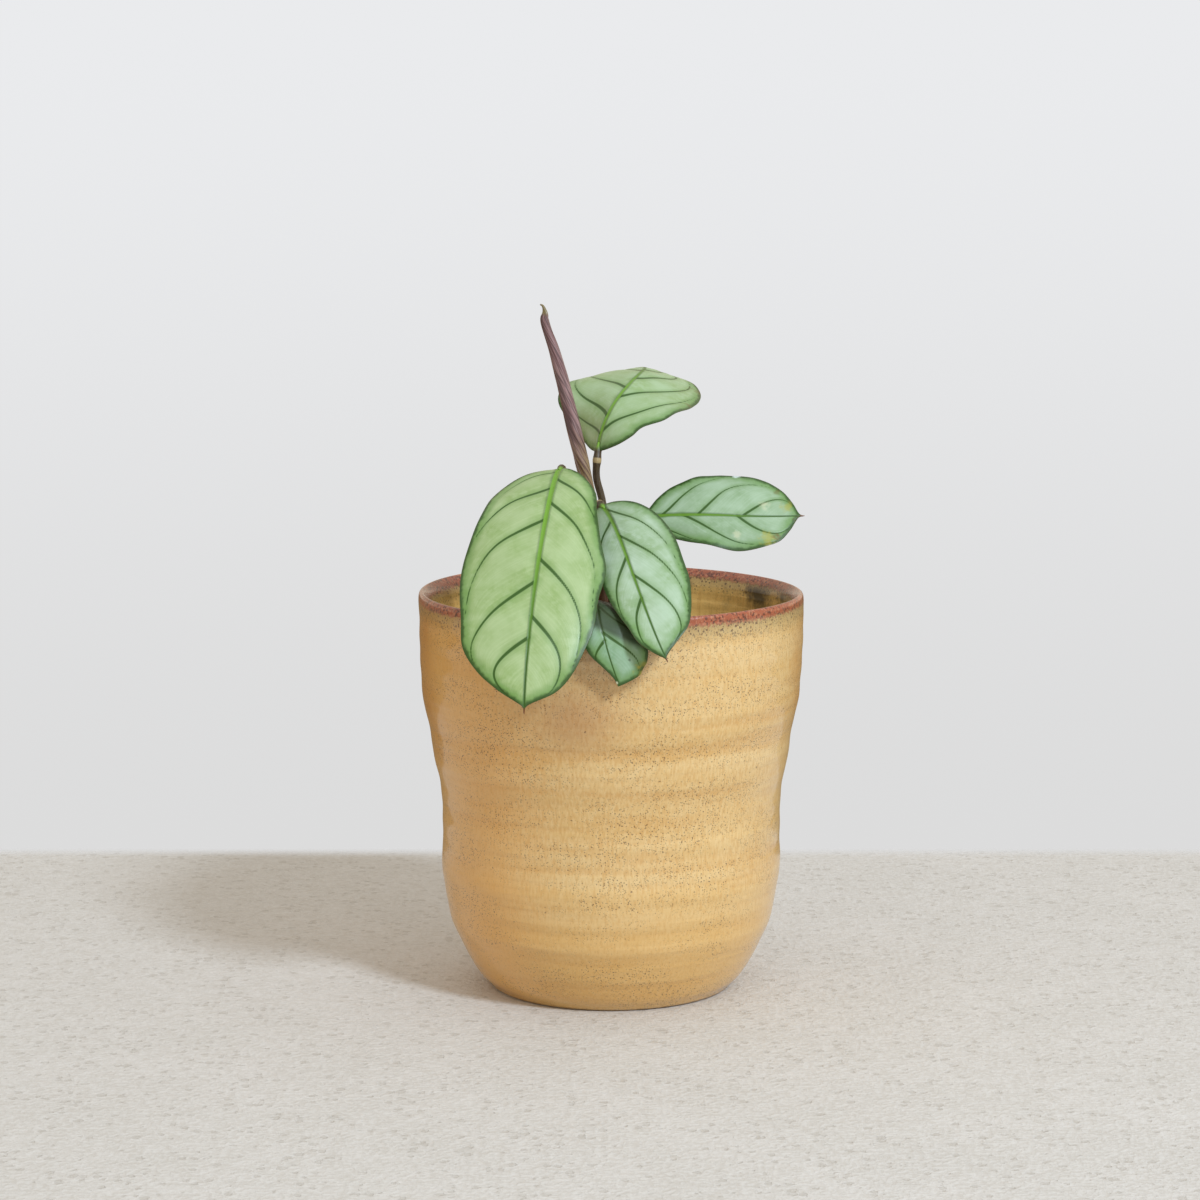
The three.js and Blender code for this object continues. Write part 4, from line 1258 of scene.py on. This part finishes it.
# %% Roll the leaf
SPEAR_ROUTE = [(-4.9, -3.5, 127.6), (-7.5, -3.5, 137.7), (-9.4, -3.5, 146.4), (-12.8, -3.5, 160.6),
               (-14.6, -3.5, 167.1), (-17.1, -3.5, 175)]
SPEAR_RADII = [1.35, 2, 1.95, 1.75, 1.5, 1.12]
SPEAR_TIP = [(-16.9, -3.5, 176.2), (-17.1, -3.4, 177.4), (-17.6, -3.3, 178.4), (-18.2, -3.2, 178.7)]
SPEAR_TIP_RADII = [0.85, 0.45, 0.28, 0.16]
SPEAR_SEAM_DEPTH = 0.15
SPEAR_SEAM_TURNS = 0.6
SPEAR_LIP = 0.035
SPEAR_SEAM_END = (0.84, 0.92)
SPEAR_WITHER = 0.12
SPEAR_SMOOTHINGS = 6
SPEAR_ROWS = 230
SPEAR_SIDES = 88

spear_stations = np.array(SPEAR_ROUTE + SPEAR_TIP)
station_steps = steps_along(spear_stations)
station_at = np.concatenate([[0], np.cumsum(station_steps)]) / station_steps.sum()
spear_line, spear_length = even_route(spear_stations, SPEAR_ROWS)
up_spear = np.linspace(0, 1, SPEAR_ROWS)
spear_radius = np.interp(up_spear, station_at, SPEAR_RADII + SPEAR_TIP_RADII)
for _ in range(SPEAR_SMOOTHINGS):
    spear_radius[1:-1] = (spear_radius[:-2] + 2 * spear_radius[1:-1] + spear_radius[2:]) / 4

share = np.append(np.linspace(0, 0.985, SPEAR_SIDES - 1), 0.996)[None, :]
open_seam = 1 - smoothed(up_spear, *SPEAR_SEAM_END)[:, None]
seam = SPEAR_SEAM_DEPTH * open_seam
pleats = 0.012 * np.cos(2 * math.pi * (7 * share + 1.3 * up_spear[:, None]))
pleats = pleats + 0.008 * np.sin(2 * math.pi * (17 * share - 2.1 * up_spear[:, None]))
lip = SPEAR_LIP * np.exp(-share / 0.03) * open_seam
roll = 1 - seam * share + pleats + lip
folds = np.cos(2 * math.pi * 3 * share + 40 * up_spear[:, None])
wither = 1 + SPEAR_WITHER * smoothed(up_spear, 0.9, 0.95)[:, None] * folds
spear_turns = 2 * math.pi * (share - SPEAR_SEAM_TURNS * up_spear[:, None])
spear_points, spear_faces = tube(spear_line, spear_radius[:, None] * roll * wither, spear_turns)
spear_values = {
    "climb": np.repeat(up_spear, SPEAR_SIDES),
    "share": np.tile(share[0], SPEAR_ROWS),
}
print("rolled leaf", round(spear_length, 1), "mm long")

# %% [markdown]
# ## The rolled leaf: its finish
# Fine side veins run slantwise over the roll, so the streaks are noise laid out on the unrolled
# sheet: round the roll one way and up it the other. The colour is a dusty wine, tan towards the
# base, with a dry olive tip. A pale line on the free edge is a painted highlight, and a dark strip
# just under it a painted shade.

# %% Finish the rolled leaf
DUSTY_WINE = colour(112, 76, 78)
DEEP_WINE = colour(58, 34, 38)
ROSE = colour(178, 148, 148)
SPEAR_TAN = colour(142, 120, 84)
SPEAR_BROWN = colour(88, 60, 42)
DRY_OLIVE = colour(118, 104, 64)
SHEET_LENGTH = 55.0
SHEET_GIRTH = 11.5

roll_skin, shader, place = new_material("rolled leaf skin", Coat_Weight=0.4, Coat_Roughness=0.22)
climb, share = surface_value(shader, "climb"), surface_value(shader, "share")
up_mm, round_mm = times(climb, SHEET_LENGTH), times(share, SHEET_GIRTH)


def streaks(per_mm, slant, stretch, detail):
    """Noise on the unrolled sheet, pulled out along lines that climb at a slant."""
    across = plus(round_mm, times(up_mm, slant))
    sheet = add_node(across.id_data, "CombineXYZ", {"X": across, "Y": times(up_mm, stretch)})
    return noise_at(sheet.outputs[0], per_mm, detail)


broad = streaks(0.5, 0.1, 0.05, 2.0)
slanted = streaks(1.7, 0.22, 0.04, 3.0)
upright = streaks(2.6, 0.04, 0.03, 3.0)
tan_streak = mix_colour(soft_step(slanted, 0.44, 0.62), SPEAR_TAN, SPEAR_BROWN)
low = plus(climb, times(minus(broad, 0.5), 0.3))
skin = layered(
    DUSTY_WINE,
    (soft_step(broad, 0.42, 0.6), 0.55, ROSE),
    (soft_step(slanted, 0.48, 0.64), 0.8, DEEP_WINE),
    (soft_step(upright, 0.5, 0.36), 0.65, DEEP_WINE),
    (soft_step(upright, 0.56, 0.7), 0.6, ROSE),
    (soft_step(low, 0.4, 0.12), 1.0, tan_streak),
    # At the step: a pale line on the free edge is a painted highlight, and the dark strip under it
    # a painted shade.
    (soft_step(share, 0.03, 0.012), 0.55, ROSE),
    (soft_step(share, 0.955, 0.985), 0.7, DEEP_WINE),
    (soft_step(climb, 0.93, 0.955), 1.0, DRY_OLIVE),
)
finish(shader, skin, plus(0.34, times(slanted, 0.2)), plus(slanted, times(upright, 0.5)), 0.08)
make_piece("rolled_spear", spear_points, spear_faces, [roll_skin], "rolled_leaf",
           spear_values)

# %% [markdown]
# ## The floor, the backdrop and the light
# The pot stands on a pale stone slab with plain light grey beyond its far edge. The world gives
# the even fill of a white studio, warmer near the horizon and dim below it. One cool lamp from
# the front right, above the plant, gives the shadow that falls to the left and back. A real
# studio is darker than its white backdrop looks, so the world shows one brightness to the camera
# and lights the scene with a lower one.

# %% Lay the slab
SLAB_BACK = 160
SLAB_FADE = 14
SLAB_FRONT = -1500
SLAB_HALF_WIDTH = 1500
SLAB_THICK = 30

slab_stone, shader, place = new_material("pale stone")
grit_cloud = place_group(clouds, place, 0.7, 0.14)
flecks = place_group(specks, place, 0.4, 0.4, 0.35)
stone_colour = layered(
    colour(206, 201, 194),
    (place_group(clouds, place, 0.03, 0.25), 1.0, colour(214, 209, 203)),
    (place_group(clouds, place, 0.22, 0.2), 0.55, colour(194, 187, 177)),
    (grit_cloud, 0.5, colour(220, 217, 212)),
    (flecks, 0.35, colour(176, 168, 156)),
)
finish(shader, stone_colour, 0.75, minus(grit_cloud, flecks), 0.12)
shown = soft_step(along_axis(place, "Y"), SLAB_BACK, SLAB_BACK - SLAB_FADE)
feed(shader.id_data, shader.inputs["Alpha"], shown)

slab_mesh = bpy.data.meshes.new("stone_slab")
slab_edges = [
    (-SLAB_HALF_WIDTH, SLAB_FRONT), (SLAB_HALF_WIDTH, SLAB_FRONT),
    (SLAB_HALF_WIDTH, SLAB_BACK), (-SLAB_HALF_WIDTH, SLAB_BACK),
]
slab_corners = [(x * MM, y * MM, z * MM) for z in (-SLAB_THICK, 0) for x, y in slab_edges]
slab_mesh.from_pydata(slab_corners, [], tube_faces(2, 4))
slab_mesh.materials.append(slab_stone)
slab = into_scene("stone_slab", slab_mesh)
print("slab laid, its far edge", SLAB_BACK, "mm behind the pot")

# %% Light the studio
WORLD_LOW = colour(220, 220, 220)
WORLD_HIGH = colour(234, 235, 237)
WORLD_BELOW = (0.24, 0.17, 0.09, 1.0)
WORLD_LEVEL = (0.86, 0.76, 0.6, 1.0)
WORLD_MIDDLE = (0.56, 0.49, 0.38, 1.0)
WORLD_ABOVE = (0.8, 0.79, 0.77, 1.0)
KEY_SIDE = 38
KEY_RISE = 37
KEY_DISTANCE = 2.4
KEY_AIM = (0, 0, 90 * MM)
KEY_SIZE = 0.42
KEY_POWER = 43
KEY_TINT = (0.74, 0.86, 1.0)

world = bpy.data.worlds.new("studio")
bpy.context.scene.world = world
world.use_nodes = True
tree = world.node_tree
look = along_axis(add_node(tree, "TexCoord").outputs["Generated"], "Z")
seen = mix_colour(soft_step(look, -0.23, 0.03), WORLD_LOW, WORLD_HIGH)
lighting = layered(
    WORLD_MIDDLE,
    (soft_step(look, 0.3, 0.9), 1.0, WORLD_ABOVE),
    (soft_step(look, 0.32, 0.12), 1.0, WORLD_LEVEL),
    (soft_step(look, 0.02, -0.05), 1.0, WORLD_BELOW),
)
by_camera = add_node(tree, "LightPath").outputs["Is Camera Ray"]
tree.links.new(mix_colour(by_camera, lighting, seen), tree.nodes["Background"].inputs["Color"])

key_data = bpy.data.lights.new("key", "AREA")
key_data.shape = "DISK"
key_data.size = KEY_SIZE
key_data.energy = KEY_POWER
key_data.color = KEY_TINT
side, rise = math.radians(KEY_SIDE), math.radians(KEY_RISE)
key_direction = Vector((
    math.sin(side) * math.cos(rise), -math.cos(side) * math.cos(rise), math.sin(rise)))
key = into_scene("key", key_data)
key.location = key_direction * KEY_DISTANCE + Vector(KEY_AIM)
key.rotation_euler = key_direction.to_track_quat("Z", "Y").to_euler()
bpy.context.scene.view_settings.view_transform = "Standard"
print("key light", KEY_POWER, "W at", KEY_DISTANCE, "m")
